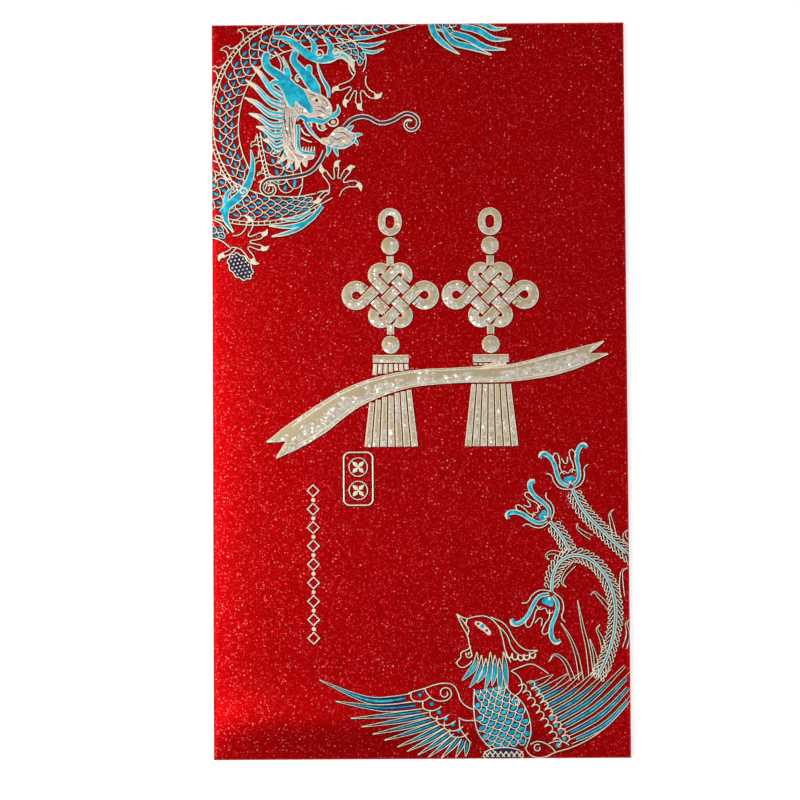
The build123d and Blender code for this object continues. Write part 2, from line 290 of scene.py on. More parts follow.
@dataclass(frozen=True)
class PearlCard:
    """Deep red pearl card with fine glitter and pale flakes whose glints are painted into their colour, paler
    along its folds from rubbed wear and a painted highlight on the crease.
    """

    name: str = "pearl_red_card"
    red: Colour = (0.53, 0.0006, 0.0014)
    deep: Colour = (0.31, 0.0004, 0.001)
    flake: Colour = (1.0, 0.045, 0.06)
    # Pale flake colour, a painted glint: bright in every light, not only where a flake faces a lamp.
    painted_glint: Colour = (1.0, 0.36, 0.33)
    # Paler red along the folds: rubbed wear, and a painted highlight on the crease.
    wear_and_highlight: Colour = (0.55, 0.03, 0.045)
    metallic: float = 0.72
    roughness: float = 0.4
    half_size: Point = (46.5, 82.5)
    wear_and_highlight_width: float = 0.35
    mottle_size: float = 11.0
    grain_size: float = 0.24
    speckle_size: float = 0.5
    drift_size: float = 6.0
    fade: float = 1.6

    def build(self) -> Material:
        """Builds the material.

        Returns:
            The finished material.
        """
        material, bench, shader = start_material(self.name)
        place = bench.millimetres()
        mottle = bench.noise(place, self.mottle_size)
        grain = bench.noise(place, self.grain_size, 3.0)
        speckle = bench.step(bench.noise(place, self.speckle_size), 0.3, 0.7)
        tone = bench.maths("ADD", bench.maths("MULTIPLY", mottle, 0.4), bench.maths("MULTIPLY", speckle, 0.6))
        paint = bench.mix(tone, self.deep, self.red)
        axes = bench.add("ShaderNodeSeparateXYZ", {0: place})
        # Paler along every fold: rubbed wear mixed with a painted highlight on the crease, broken up by
        # grain.
        for axis, half in enumerate(self.half_size):
            near = bench.maths("ABSOLUTE", axes.outputs[axis])
            wear_and_highlight_mask = bench.step(near, half - self.wear_and_highlight_width, half)
            paint = bench.mix(bench.maths("MULTIPLY", wear_and_highlight_mask, grain), paint, self.wear_and_highlight)
        coarse = bench.group(Groups.glitter, {"Cell": 0.8, "Radius": 0.25, "Share": 0.6, "Lean": 0.9})
        fine = bench.group(Groups.glitter, {"Cell": 0.46, "Radius": 0.44, "Share": 0.8, "Lean": 0.3})
        shimmer = bench.maths("POWER", fine.outputs["Shade"], self.fade)
        flakes = bench.maths("MULTIPLY", fine.outputs["Mask"], shimmer)
        drifts = bench.spread(bench.step(bench.noise(place, self.drift_size), 0.32, 0.62), 0.35, 1.0)
        # Painted glints: each pale flake's brightness is set in its colour, and its metal is cut so that it
        # shows under any light.
        painted_glint_strength = bench.maths("MULTIPLY", bench.maths("POWER", coarse.outputs["Shade"], self.fade), drifts)
        painted_glint = bench.maths("MULTIPLY", coarse.outputs["Mask"], painted_glint_strength)
        shine = bench.spread(flakes, self.metallic, 0.95)
        bench.connect(shader, {
            "Base Color": bench.mix(painted_glint, bench.mix(flakes, paint, self.flake), self.painted_glint),
            "Metallic": bench.maths("SUBTRACT", shine, bench.maths("MULTIPLY", painted_glint, 0.6)),
            "Roughness": bench.spread(flakes, self.roughness, 0.34),
            "Normal": bench.mix_vector(flakes, bench.bump(grain, 0.02, 0.4), fine.outputs["Normal"]),
            "Specular IOR Level": 0.05,
        })
        return material


@dataclass(frozen=True)
class PlainCard:
    """The uncoated white of the card, inside and along its cut edges."""

    name: str = "white_uncoated_card"
    pale: Colour = (0.80, 0.78, 0.74)
    shade: Colour = (0.68, 0.65, 0.60)
    fibre_size: float = 0.35
    cloud_size: float = 6.0

    def build(self) -> Material:
        """Builds the material.

        Returns:
            The finished material.
        """
        material, bench, shader = start_material(self.name)
        place = bench.millimetres()
        fibres = bench.noise(place, self.fibre_size, 4.0)
        cloud = bench.noise(place, self.cloud_size)
        bench.connect(shader, {
            "Base Color": bench.mix(bench.maths("MULTIPLY", fibres, cloud), self.pale, self.shade),
            "Roughness": bench.spread(fibres, 0.75, 0.95),
            "Normal": bench.bump(fibres, 0.03, 0.6),
        })
        return material


@dataclass(frozen=True)
class ChampagneFoil:
    """Champagne hologram foil: a painted reflection makes the cracked facets sparkle on the flank of each
    band that faces one fixed side, and in random patches, while the other flank is painted plain.
    """

    name: str = "champagne_hologram_foil"
    plain: Colour = (0.55, 0.44, 0.25)
    dull: Colour = (0.43, 0.345, 0.195)
    bright: Colour = (0.87, 0.81, 0.74)
    pink: Colour = (0.69, 0.5, 0.46)
    green: Colour = (0.49, 0.56, 0.42)
    patch_size: float = 3.2
    haze_size: float = 0.4
    ragged_size: float = 0.8
    cover: Point = (-0.28, 0.38)
    ragged: Point = (-0.14, 0.14)
    cell: float = 0.44
    lean: float = 0.55
    # Direction of the painted reflection: flanks that face it are painted sparkling.
    painted_sparkle_side: Vector = field(default_factory=lambda: Vector((0.55, -0.83, 0.0)))

    def build(self) -> Material:
        """Builds the material.

        Returns:
            The finished material.
        """
        material, bench, shader = start_material(self.name)
        place = bench.millimetres()
        patches = bench.noise(place, self.patch_size, 3.0)
        haze = bench.noise(place, self.haze_size, 3.0)
        mosaic = bench.group(Groups.mosaic, {"Cell": self.cell, "Lean": self.lean})
        # Painted reflection: the flank's facing, not the lamps, decides where the facets sparkle.
        flank = bench.dot(bench.add("ShaderNodeNewGeometry").outputs["Normal"], self.painted_sparkle_side)
        lit = bench.maths("ADD", flank, bench.spread(patches, *self.cover))
        lit = bench.maths("ADD", lit, bench.spread(bench.noise(place, self.ragged_size), *self.ragged))
        mask = bench.step(lit, 0.0, 0.06)
        tint = bench.mix(bench.step(mosaic.outputs["Hue"], 0.3, 0.7), self.pink, self.green)
        facet = bench.mix(bench.step(mosaic.outputs["Shade"], 0.1, 0.9), tint, self.bright)
        facet = bench.mix(bench.maths("MULTIPLY", mosaic.outputs["Crack"], 0.75), facet, self.dull)
        smooth = bench.mix(haze, self.dull, self.plain)
        bench.connect(shader, {
            "Base Color": bench.mix(mask, smooth, facet),
            "Metallic": 0.3,
            "Roughness": bench.spread(mask, 0.42, 0.28),
            "Normal": bench.mix_vector(mask, bench.bump(haze, 0.02, 0.4), mosaic.outputs["Normal"]),
        })
        return material


@dataclass(frozen=True)
class StampedFoil:
    """Plain stamping foil, its colour uneven where the die pressed lighter."""

    name: str
    colour: Colour
    pressed: Colour
    metallic: float = 0.2
    roughness: Point = (0.3, 0.5)
    press_size: float = 1.6
    grain_size: float = 0.12

    def build(self) -> Material:
        """Builds the material.

        Returns:
            The finished material.
        """
        material, bench, shader = start_material(self.name)
        place = bench.millimetres()
        press = bench.noise(place, self.press_size, 3.0)
        grain = bench.noise(place, self.grain_size)
        bench.connect(shader, {
            "Base Color": bench.mix(bench.step(press, 0.35, 0.75), self.colour, self.pressed),
            "Metallic": self.metallic,
            "Roughness": bench.spread(grain, *self.roughness),
            "Normal": bench.bump(grain, 0.01, 0.5),
            "Specular IOR Level": 0.15,
        })
        return material


@dataclass(frozen=True)
class SetGlue:
    """Clear paper glue, set and slightly cloudy."""

    name: str = "set_paper_glue"
    clear: Colour = (0.86, 0.84, 0.76)
    cloudy: Colour = (0.74, 0.70, 0.58)
    streak_size: float = 1.5

    def build(self) -> Material:
        """Builds the material.

        Returns:
            The finished material.
        """
        material, bench, shader = start_material(self.name)
        streaks = bench.noise(bench.millimetres(), self.streak_size, 3.0)
        bench.connect(shader, {
            "Base Color": bench.mix(streaks, self.clear, self.cloudy),
            "Roughness": bench.spread(streaks, 0.2, 0.45),
            "Normal": bench.bump(streaks, 0.03, 0.5),
        })
        return material


class Ink(Enum):
    """The stamped layers, lowest first, starting with the painted shadow: dark card beside each line, shifted
    to one side.
    """

    # Painted shadow: dark card beside each line and rim, shifted to one side.
    EDGE = "edge"
    NAVY = "navy"
    RIM = "rim"
    DARK = "dark"
    TURQUOISE = "turquoise"
    CHAMPAGNE = "champagne"
    MOTTLED = "mottled"
    LINE = "line"
    OVER_RIM = "over_rim"
    OVER_DARK = "over_dark"
    OVER = "over"
    TOP = "top"


@dataclass(frozen=True)
class Level:
    """How a layer stands on the card, in mm.

    Attributes:
        base: Height of the layer's middle plane over the card.
        slope: Height of a band as a share of its half width.
        cap: The most that a band may rise over the middle plane.
        roundness: Steps in a quarter of a band's section.
    """

    base: float
    slope: float
    cap: float
    roundness: int = 0


LEVELS = {
    # The painted shadow lies just over the card.
    Ink.EDGE: Level(0.004, 1.0, 0.008),
    Ink.NAVY: Level(0.014, 1.0, 0.01),
    Ink.RIM: Level(0.02, 1.0, 0.04),
    Ink.DARK: Level(0.06, 1.0, 0.01),
    Ink.TURQUOISE: Level(0.075, 1.0, 0.03),
    Ink.CHAMPAGNE: Level(0.03, 0.075, 0.5, 3),
    Ink.MOTTLED: Level(0.03, 0.075, 0.5, 3),
    Ink.LINE: Level(0.08, 1.0, 0.05),
    Ink.OVER_RIM: Level(0.15, 1.0, 0.03),
    Ink.OVER_DARK: Level(0.19, 1.0, 0.02),
    Ink.OVER: Level(0.19, 1.0, 0.03),
    Ink.TOP: Level(0.23, 1.0, 0.03),
}
OVER_INKS = {Ink.DARK: Ink.OVER_DARK, Ink.TURQUOISE: Ink.OVER}


@dataclass(frozen=True)
class Stroke:
    """One stamped line or fill.

    Attributes:
        points: Points that the line runs through, in mm.
        widths: Line widths in mm, spread evenly from start to end.
        closed: Whether the line returns to its start.
        filled: Whether the outline is filled instead of drawn.
        straight: Whether the line runs straight from point to point.
    """

    points: list[Point]
    widths: tuple[float, ...] = (0.3,)
    closed: bool = False
    filled: bool = False
    straight: bool = False

    def width_at(self, share: float) -> float:
        """Gives the line's width at a place.

        Args:
            share: The place, from 0 at the line's start to 1 at its end.

        Returns:
            The width in mm.
        """
        place = min(max(share, 0.0), 1.0) * (len(self.widths) - 1)
        low = min(int(place), len(self.widths) - 1)
        high = min(low + 1, len(self.widths) - 1)
        return self.widths[low] + (self.widths[high] - self.widths[low]) * (place - low)


class Spine:
    """A smooth line through a few points, measured along its length."""

    STEPS = 14

    def __init__(self, points: list[Point]) -> None:
        """Samples the line.

        Args:
            points: Points that the line runs through, in mm.
        """
        ends = [points[0], *points, points[-1]]
        self.samples: list[Point] = []
        for corners in zip(ends, ends[1:], ends[2:], ends[3:]):
            self.samples += [self._between(corners, k / self.STEPS) for k in range(self.STEPS)]
        self.samples.append(points[-1])
        self.reach = [0.0]
        for start, end in zip(self.samples, self.samples[1:]):
            self.reach.append(self.reach[-1] + math.dist(start, end))

    @staticmethod
    def _between(corners: tuple[Point, ...], t: float) -> Point:
        """Gives a point between the two middle corners of a Catmull-Rom line.

        Args:
            corners: Four corners of the line.
            t: The place, from 0 at the second corner to 1 at the third.

        Returns:
            The point in mm.
        """
        weights = (-t + 2 * t**2 - t**3, 2 - 5 * t**2 + 3 * t**3, t + 4 * t**2 - 3 * t**3, t**3 - t**2)
        x, y = (0.5 * sum(w * corner[axis] for w, corner in zip(weights, corners)) for axis in (0, 1))
        return x, y

    @property
    def length(self) -> float:
        """The line's length in mm."""
        return self.reach[-1]

    def beside(self, along: float, off: float) -> Point:
        """Gives a point beside the line.

        Args:
            along: Distance along the line in mm.
            off: Distance to the left of the line in mm.

        Returns:
            The point in mm.
        """
        along = min(max(along, 0.0), self.length)
        last = len(self.samples) - 2
        low = next((k for k in range(last) if self.reach[k + 1] > along), last)
        (x0, y0), (x1, y1) = self.samples[low], self.samples[low + 1]
        span = self.reach[low + 1] - self.reach[low]
        share = (along - self.reach[low]) / span
        east, north = (x1 - x0) / span, (y1 - y0) / span
        return x0 + (x1 - x0) * share - north * off, y0 + (y1 - y0) * share + east * off


class Limb(Spine):
    """A tapered body along a smooth line."""

    def __init__(self, points: list[Point], *halves: float) -> None:
        """Samples the body.

        Args:
            points: Points that its middle line runs through, in mm.
            halves: Half widths in mm, spread evenly along it.
        """
        super().__init__(points)
        self.halves = Stroke(self.samples, halves)

    def half_at(self, along: float) -> float:
        """Gives the half width at a distance along the body."""
        return self.halves.width_at(along / self.length)


@dataclass(frozen=True)
class Setting:
    """A place, turn, size and hand for a motif that is drawn more than once."""

    place: Point
    turn_deg: float = 0.0
    size: float = 1.0
    mirrored: bool = False

    def lay(self, points: list[Point]) -> list[Point]:
        """Moves points from the motif's own frame to the front.

        Args:
            points: Points in the motif's frame, in mm.

        Returns:
            The same points on the front.
        """
        turn = math.radians(self.turn_deg)
        hand = -1.0 if self.mirrored else 1.0
        laid = []
        for x, y in points:
            u, v = x * hand * self.size, y * self.size
            east = u * math.cos(turn) - v * math.sin(turn)
            north = u * math.sin(turn) + v * math.cos(turn)
            laid.append((self.place[0] + east, self.place[1] + north))
        return laid


def arc(centre: Point, radius: float, start_deg: float, sweep_deg: float, count: int = 7,
        end_radius: float | None = None) -> list[Point]:
    """Gives points on an arc or a scroll.

    Args:
        centre: The middle in mm.
        radius: Radius at the start in mm.
        start_deg: Angle of the start.
        sweep_deg: Angle from start to end, negative for clockwise.
        count: Number of points.
        end_radius: Radius at the end of a scroll.

    Returns:
        The points from start to end.
    """
    points = []
    for k in range(count):
        share = k / (count - 1)
        angle = math.radians(start_deg + sweep_deg * share)
        reach = radius + ((radius if end_radius is None else end_radius) - radius) * share
        points.append((centre[0] + reach * math.cos(angle), centre[1] + reach * math.sin(angle)))
    return points


def ring(centre: Point, radius: float, squeeze: float = 1.0, count: int = 10) -> list[Point]:
    """Gives points all round a circle, or an oval that is squeezed in y."""
    angles = [2 * math.pi * k / count for k in range(count)]
    return [(centre[0] + radius * math.cos(a), centre[1] + squeeze * radius * math.sin(a)) for a in angles]


def between(start: Point, end: Point, share: float, lift: float = 0.0) -> Point:
    """Gives a point a share of the way from start to end, lifted in y."""
    return start[0] + (end[0] - start[0]) * share, start[1] + (end[1] - start[1]) * share + lift


@dataclass
class Drawing:
    """The strokes of one figure, kept by layer."""

    strokes: dict[Ink, list[Stroke]] = field(default_factory=lambda: {ink: [] for ink in Ink})
    rim: float = 0.2
    thin: float = 0.23
    net: float = 0.19
    tick: float = 0.18
    blade_line: Point = (0.18, 0.14)
    spike_line: tuple[float, ...] = (0.26, 0.22, 0.16)

    def line(self, points: list[Point], *widths: float, ink: Ink = Ink.LINE, closed: bool = False,
             straight: bool = False) -> None:
        """Draws a line of one width, or of widths spread along it."""
        self.strokes[ink].append(Stroke(points, widths or (self.thin,), closed, False, straight))

    def fill(self, points: list[Point], ink: Ink = Ink.RIM) -> None:
        """Fills a closed smooth outline."""
        self.strokes[ink].append(Stroke(points, closed=True, filled=True))

    def dot(self, centre: Point, radius: float, ink: Ink = Ink.LINE) -> None:
        """Fills a small round dot."""
        self.fill(ring(centre, radius, count=6), ink)

    def press(self, spread: float = 0.4, shift: Point = (0.08, -0.08)) -> None:
        """Adds a painted shadow beside every line and rim: a darker, wider copy of the line, shifted to one
        side as if the line cast it.

        Args:
            spread: How much wider than its line each painted shadow is.
            shift: How far it lies to one side.
        """
        for ink in (Ink.RIM, Ink.LINE, Ink.OVER_RIM):
            for stroke in self.strokes[ink]:
                if not stroke.filled:
                    points = [(x + shift[0], y + shift[1]) for x, y in stroke.points]
                    widths = tuple(width + spread for width in stroke.widths)
                    self.strokes[Ink.EDGE].append(replace(stroke, points=points, widths=widths))

    def strand(self, points: list[Point], *widths: float, core: Ink = Ink.TURQUOISE,
               over: bool = False) -> None:
        """Draws a tapered strand with a gold rim.

        Args:
            points: The strand's middle line.
            widths: Widths of its core and half the rim, spread evenly along it.
            core: The layer of the core.
            over: Whether the strand lies over the linework.
        """
        rims = (width + self.rim for width in widths)
        self.line(points, *rims, ink=Ink.OVER_RIM if over else Ink.RIM)
        inner = Spine(points)
        stop = inner.length * (0.9 if widths[-1] < 0.4 else 1.0)
        count = max(6, len(points))
        kept = [inner.beside(stop * k / count, 0.0) for k in range(count + 1)]
        slim = (max(width - self.rim, 0.12) for width in widths)
        self.line(kept, *slim, ink=OVER_INKS[core] if over else core)

    def blade(self, points: list[Point], *widths: float) -> None:
        """Draws a tapered blade as two gold lines that meet at its tip.

        Args:
            points: The blade's middle line from root to tip.
            widths: Widths of the blade, spread evenly along it.
        """
        limb = Limb(points, *(width / 2 for width in widths))
        for side in (-1, 1):
            places = [limb.length * k / 5 for k in range(6)]
            self.line([limb.beside(place, side * limb.half_at(place)) for place in places], *self.blade_line)

    def feather(self, points: list[Point], widths: tuple[float, ...], core: float,
                reach: float = 1.0) -> None:
        """Draws a leaf-shaped feather: two gold edges, and between them a turquoise core on navy.

        Args:
            points: The feather's middle line from root to tip.
            widths: Widths of the leaf, spread evenly along it.
            core: Width of the turquoise core.
            reach: Share of the feather that the core runs along.
        """
        self.blade(points, *widths)
        middle = Spine(points)
        kept = [middle.beside(middle.length * reach * (0.06 + 0.94 * k / 5), 0.0) for k in range(6)]
        self.line(kept, core + 0.5, core + 0.6, 0.45, ink=Ink.NAVY)
        self.line(kept, 0.4 * core, 0.68 * core, 0.54 * core, 0.1, ink=Ink.TURQUOISE)

    def knob(self, points: list[Point], *widths: float) -> None:
        """Draws a turquoise strand with a round end, over the linework."""
        self.strand(points, *widths, over=True)
        self.dot(points[-1], 0.5 * (widths[-1] + self.rim), Ink.OVER_RIM)
        self.dot(points[-1], 0.5 * (widths[-1] - self.rim), Ink.OVER)

    def _net(self, limb: Limb, lanes: int, pitch: float,
             shadow: float = 0.0) -> list[tuple[float, float, float]]:
        """Draws the round edges of a body's scales, row by row.

        Args:
            limb: The body.
            lanes: Scales across it.
            pitch: Distance from row to row in mm.
            shadow: How much wider than the gold line its navy ground is, or 0 for none.

        Returns:
            Each scale's place along the body, its place across and its width.
        """
        scallop = [(0.0, -0.5), (0.5, -0.4), (1.0, 0.0), (0.5, 0.4), (0.0, 0.5)]
        lead = 0.4
        found = []
        for row in range(int(limb.length / pitch - lead)):
            along = (row + lead) * pitch
            half = limb.half_at(along)
            lane = 2 * half / lanes
            shift = row % 2
            for k in range(lanes - shift):
                middle = -half + lane * (k + 0.5 + 0.5 * shift)
                edge = [limb.beside(along + a * pitch, middle + b * lane) for a, b in scallop]
                self.line(edge, self.net)
                if shadow:
                    self.line(edge, self.net + shadow, ink=Ink.NAVY)
                found.append((along, middle, lane))
        return found

    def scales(self, limb: Limb, lanes: int, pitch: float, drop: float) -> None:
        """Covers a body with scales that each hold a turquoise drop on navy.

        Args:
            limb: The body.
            lanes: Scales across it.
            pitch: Distance from row to row in mm.
            drop: Width of each drop as a share of its scale.
        """
        leaf = [(-0.45, 0.2), (-0.22, 0.8), (0.0, 1.0), (0.24, 0.85), (0.45, 0.25)]
        layers = ((Ink.NAVY, 1.3, 0.42, 0.2), (Ink.TURQUOISE, 1.0, 0.0, 0.34))
        for along, middle, lane in self._net(limb, lanes, pitch):
            for ink, stretch, grow, lead in layers:
                points = [limb.beside(along + (lead + a * stretch) * pitch, middle) for a, _ in leaf]
                self.line(points, *(b * drop * lane + grow for _, b in leaf), ink=ink)

    def fans(self, limb: Limb, lanes: int, pitch: float, shadow: float = 0.8) -> None:
        """Covers a body with scales that each hold a turquoise fan on navy.

        Args:
            limb: The body.
            lanes: Scales across it.
            pitch: Distance from row to row in mm.
            shadow: How much wider than the gold line its navy ground is.
        """
        flank = [(-0.06, 0.0), (0.0, 0.17), (0.16, 0.29), (0.4, 0.27), (0.57, 0.15), (0.63, 0.0)]
        fan = flank + [(a, -b) for a, b in flank[-2:0:-1]]
        for along, middle, lane in self._net(limb, lanes, pitch, shadow):
            self.fill([limb.beside(along + a * pitch, middle + b * lane) for a, b in fan], Ink.TURQUOISE)

    def edges(self, limb: Limb, grow: float = 0.0, sides: tuple[int, ...] = (-1, 1)) -> None:
        """Draws the outlines along the sides of a body.

        Args:
            limb: The body.
            grow: How far outside the body they run, in mm.
            sides: 1 for its left side and -1 for its right one.
        """
        count = max(6, int(limb.length / 4))
        places = [limb.length * k / count for k in range(count + 1)]
        for side in sides:
            self.line([limb.beside(place, side * (limb.half_at(place) + grow)) for place in places])

    def ladder(self, limb: Limb, side: int, depth: float, pitch: float) -> None:
        """Draws short ticks between a body's outline and a second line outside it.

        Args:
            limb: The body.
            side: 1 for its left side or -1 for its right one.
            depth: Distance from the outline to the second line in mm.
            pitch: Distance from tick to tick in mm.
        """
        self.edges(limb, depth, (side,))
        for k in range(1, int(limb.length / pitch)):
            half = limb.half_at(k * pitch)
            self.line([limb.beside(k * pitch, side * (half + b)) for b in (0.0, depth)], self.tick)

    def spikes(self, limb: Limb, side: int, pitch: float, height: float, grow: float) -> None:
        """Draws a row of flame-shaped spikes along one side of a body.

        Args:
            limb: The body.
            side: 1 for its left side or -1 for its right one.
            pitch: Distance from spike to spike in mm.
            height: Height of each spike in mm.
            grow: How far outside the body they stand, in mm.
        """
        wide = 0.36 * pitch
        flanks = ([(-wide, 0.0), (-0.45 * wide, 0.45), (-0.7 * wide, 1.0)],
                  [(wide, 0.0), (0.1 * wide, 0.35), (0.15 * wide, 0.68), (-0.7 * wide, 1.0)])
        for k in range(int(limb.length / pitch)):
            along = (k + 0.5) * pitch
            half = limb.half_at(along) + grow
            for flank in flanks:
                points = [limb.beside(along - a, side * (half + b * height)) for a, b in flank]
                self.line(points, *self.spike_line)

    def barbs(self, spine: Spine, start: float, reach: float, pitch: float) -> None:
        """Draws the curled barbs down both sides of a tail feather, each with a navy root.

        Args:
            spine: The feather's middle line.
            start: Place of the first barb along it, in mm.
            reach: How far the barbs stand out, in mm.
            pitch: Distance from barb to barb in mm.
        """
        curl = [(0.0, 0.5), (0.35, 0.66), (0.85, 1.1), (0.75, 1.42), (0.35, 1.3), (0.05, 0.95)]
        eye = [(0.3, 0.9), (0.55, 1.2)]
        for k in range(int((spine.length - start) / pitch)):
            along = start + k * pitch
            for side in (-1, 1):
                for shape, width, ink in ((curl, 0.2, Ink.LINE), (eye, 0.36, Ink.NAVY)):
                    points = [spine.beside(along + a * pitch, side * b * reach) for a, b in shape]
                    self.line(points, width, ink=ink)


@dataclass
class Dragon(Drawing):
    """The dragon at the top left, cropped by the envelope's top and left folds."""

    back: Limb = Limb(
        [(-1, 84.8), (-11, 82.2), (-20, 80.8), (-29, 79.6), (-36, 76.4), (-40.6, 70.6), (-43, 63.4),
         (-43, 56), (-40.6, 49.6), (-38.6, 46)], 2.8, 3.1, 3.2, 3.1, 2.9, 2.2)
    coil: Limb = Limb(
        [(-49, 46), (-44.5, 43.6), (-39, 41.4), (-33, 40.8), (-27.5, 41.2), (-22.6, 42.8)],
        4.6, 4.2, 3.2, 2.4, 1.3)
    chest: Limb = Limb(
        [(-34, 58.4), (-32.6, 54.6), (-30.6, 50.6), (-29.6, 47), (-30.4, 43.8)], 1.6, 2.4, 3.4, 3.7, 3.4)
    forearm: Limb = Limb([(-18.6, 77.4), (-15, 76.6), (-13, 74.4), (-13.4, 71.6)], 1.8, 1.7, 1.1)
    tail: Limb = Limb([(2.6, 84.6), (5.4, 82.6), (8.6, 81)], 1.8, 2.0, 1.4)
    ridge: float = 0.8
    pearl: Point = (-40.1, 27.7)
    pearl_half: Point = (3.5, 2.3)
    pearl_turn: float = -50.0
    bead_pitch: float = 0.92

    def draw(self) -> Drawing:
        """Draws the whole dragon.

        Returns:
            The finished drawing.
        """
        for part in (self._body, self._head, self._mane, self._claws, self._flames, self._whiskers,
                     self._pearl):
            part()
        return self

    def _body(self) -> None:
        """Draws the scaled back, coil, chest, forearm and tail."""
        bodies = ((self.back, 2, 1.35, 0.17), (self.coil, 3, 1.45, 0.2), (self.chest, 2, 1.45, 0.18),
                  (self.forearm, 2, 1.3, 0.26), (self.tail, 2, 1.25, 0.24))
        for limb, lanes, pitch, drop in bodies:
            self.scales(limb, lanes, pitch, drop)
            self.edges(limb)
        for limb, pitch in ((self.back, 4.2), (self.chest, 3.2)):
            self.ladder(limb, -1, self.ridge, 0.95)
            self.spikes(limb, -1, pitch, 0.62 * pitch, self.ridge)
        self.ladder(self.coil, -1, self.ridge, 1.2)

    def _head(self) -> None:
        """Draws the face, jaw and chin, and what grows on them."""
        face = [(-25.6, 67.6), (-23.4, 67), (-21.4, 66), (-20, 64.6), (-19.4, 62.6), (-20.2, 61.2),
                (-22.4, 61.5), (-24.6, 61.4), (-26.6, 61.9), (-27.6, 60.4), (-27.7, 57), (-27.4, 53.8),
                (-25.6, 52.6), (-23.4, 52.4), (-24.8, 51.6), (-27.6, 51.5), (-29.6, 53), (-30.2, 56),
                (-31, 59.4), (-31.4, 62.6), (-30.6, 65.6), (-28.6, 67.6)]
        chin = [(-22, 56), (-20.2, 56.6), (-18.8, 58.2), (-17.2, 58.9), (-15.6, 58), (-14, 57), (-14.4, 55.6),
                (-16.2, 54.5), (-18.4, 54.3), (-20.4, 54.9)]
        for shape in (face, chin):
            self.fill(shape, Ink.MOTTLED)
            self.line(shape, 0.26, closed=True)
        brow = [(-29.9, 66.6), (-29.4, 64.8), (-28.5, 63.5), (-27.8, 63.5), (-27.6, 64.9), (-26.6, 64),
                (-25.2, 63.1), (-24.1, 62), (-23.6, 63.2), (-24.4, 64.6), (-25, 66.2), (-26.2, 67.8),
                (-28, 68.6)]
        self.line(brow, 0.5, ink=Ink.OVER_RIM, closed=True)
        self.fill(brow, Ink.OVER)
        self._horns()
        self._mouth()
        tufts = (((-30, 55.4), (-32.8, 53)), ((-29.4, 53.4), (-31.6, 50.8)), ((-28.4, 52.2), (-29.6, 49.6)),
                 ((-27, 51.8), (-27.4, 49.4)), ((-25.6, 52), (-25.2, 50)))
        for root, tip in tufts:
            self.strand([root, between(root, tip, 0.5, -0.3), tip], 1.4, 0.9, 0.15, core=Ink.MOTTLED)
        self.line([(-24, 65.3), (-22.8, 65.4), (-21.6, 64.4)], 0.2, 1.1, 0.2)
        self.dot((-22.8, 65), 0.36, Ink.OVER_DARK)
        wrinkles = ([(-22.6, 63.6), (-21.4, 63.4), (-20.6, 62.4)], [(-23.2, 62.8), (-22, 62.6), (-21.2, 62)],
                    [(-29.9, 63.4), (-30.1, 60.6), (-29.4, 57.6)],
                    [(-28.9, 62), (-28.9, 59.4), (-28.5, 56.4)], [(-29, 54.6), (-27.8, 52.9), (-26, 52.1)],
                    [(-19.6, 57), (-18.2, 56.2), (-17, 56.6)], [(-18.2, 57.8), (-16.8, 57.6), (-15.4, 56.6)],
                    [(-30.6, 65), (-29.8, 64.2), (-29.5, 63)], [(-30.5, 61.6), (-30, 60.8), (-29.7, 59.8)],
                    [(-29.9, 58.6), (-29.5, 57.8), (-29.2, 56.6)],
                    [(-28.5, 61), (-28.3, 59.8), (-28.1, 58.4)], [(-28.5, 55.6), (-28.3, 54.8), (-27.7, 54)],
                    [(-24.8, 66.5), (-23.6, 66.3), (-22.5, 65.7)],
                    [(-21.3, 65.3), (-20.7, 64.6), (-20.3, 63.6)])
        for wrinkle in wrinkles:
            self.line(wrinkle, 0.1, 0.22, 0.1, ink=Ink.DARK)

    def _horns(self) -> None:
        """Draws the two antlers with their knobs and hooks, and the crest beside them."""
        self.knob([(-27.4, 66.6), (-29.6, 69.2), (-31.6, 71), (-33.6, 72.4), (-34.3, 74), (-34, 75.2)],
                  2.6, 2.6, 2.1, 1.8, 1.7, 1.7)
        self.knob([(-29.6, 69.2), (-29.2, 70.8), (-29.5, 72)], 1.5, 1.3, 1.4)
        self.strand([(-29.2, 66.4), (-30.6, 68.4), (-32, 69.2), (-33, 68.6), (-32.4, 67.8)],
                    1.8, 1.4, 1.2, 0.9, 0.4, over=True)
        self.knob([(-21.9, 66.4), (-23, 67.6), (-24.4, 69.6), (-25.8, 71.4), (-27.2, 73), (-28, 74.4),
                   (-27.6, 75.6)], 0.2, 2.5, 2.7, 2.1, 1.7, 1.5, 1.5)
        self.knob([(-24.8, 70.2), (-24.4, 71.6), (-24.5, 72.4)], 1.3, 1.2, 1.3)
        self.strand([(-25.6, 70), (-26.8, 70.7), (-27.3, 69.9), (-26.8, 69.3)], 0.9, 0.7, 0.6, 0.3)
        self.strand([(-20, 65.6), (-20.3, 67.8), (-21.4, 69.8), (-22.2, 71.8), (-22.6, 73.6)],
                    0.5, 0.9, 0.7, 0.5, 0.15)
        self.strand([(-31, 70.8), (-30.4, 72.6), (-31, 74.6), (-32.2, 76.2)],
                    0.5, 0.7, 0.5, 0.15, core=Ink.DARK)
        self.strand([(-28.4, 70.4), (-29.4, 72.8), (-30.4, 75)], 0.4, 0.6, 0.15)

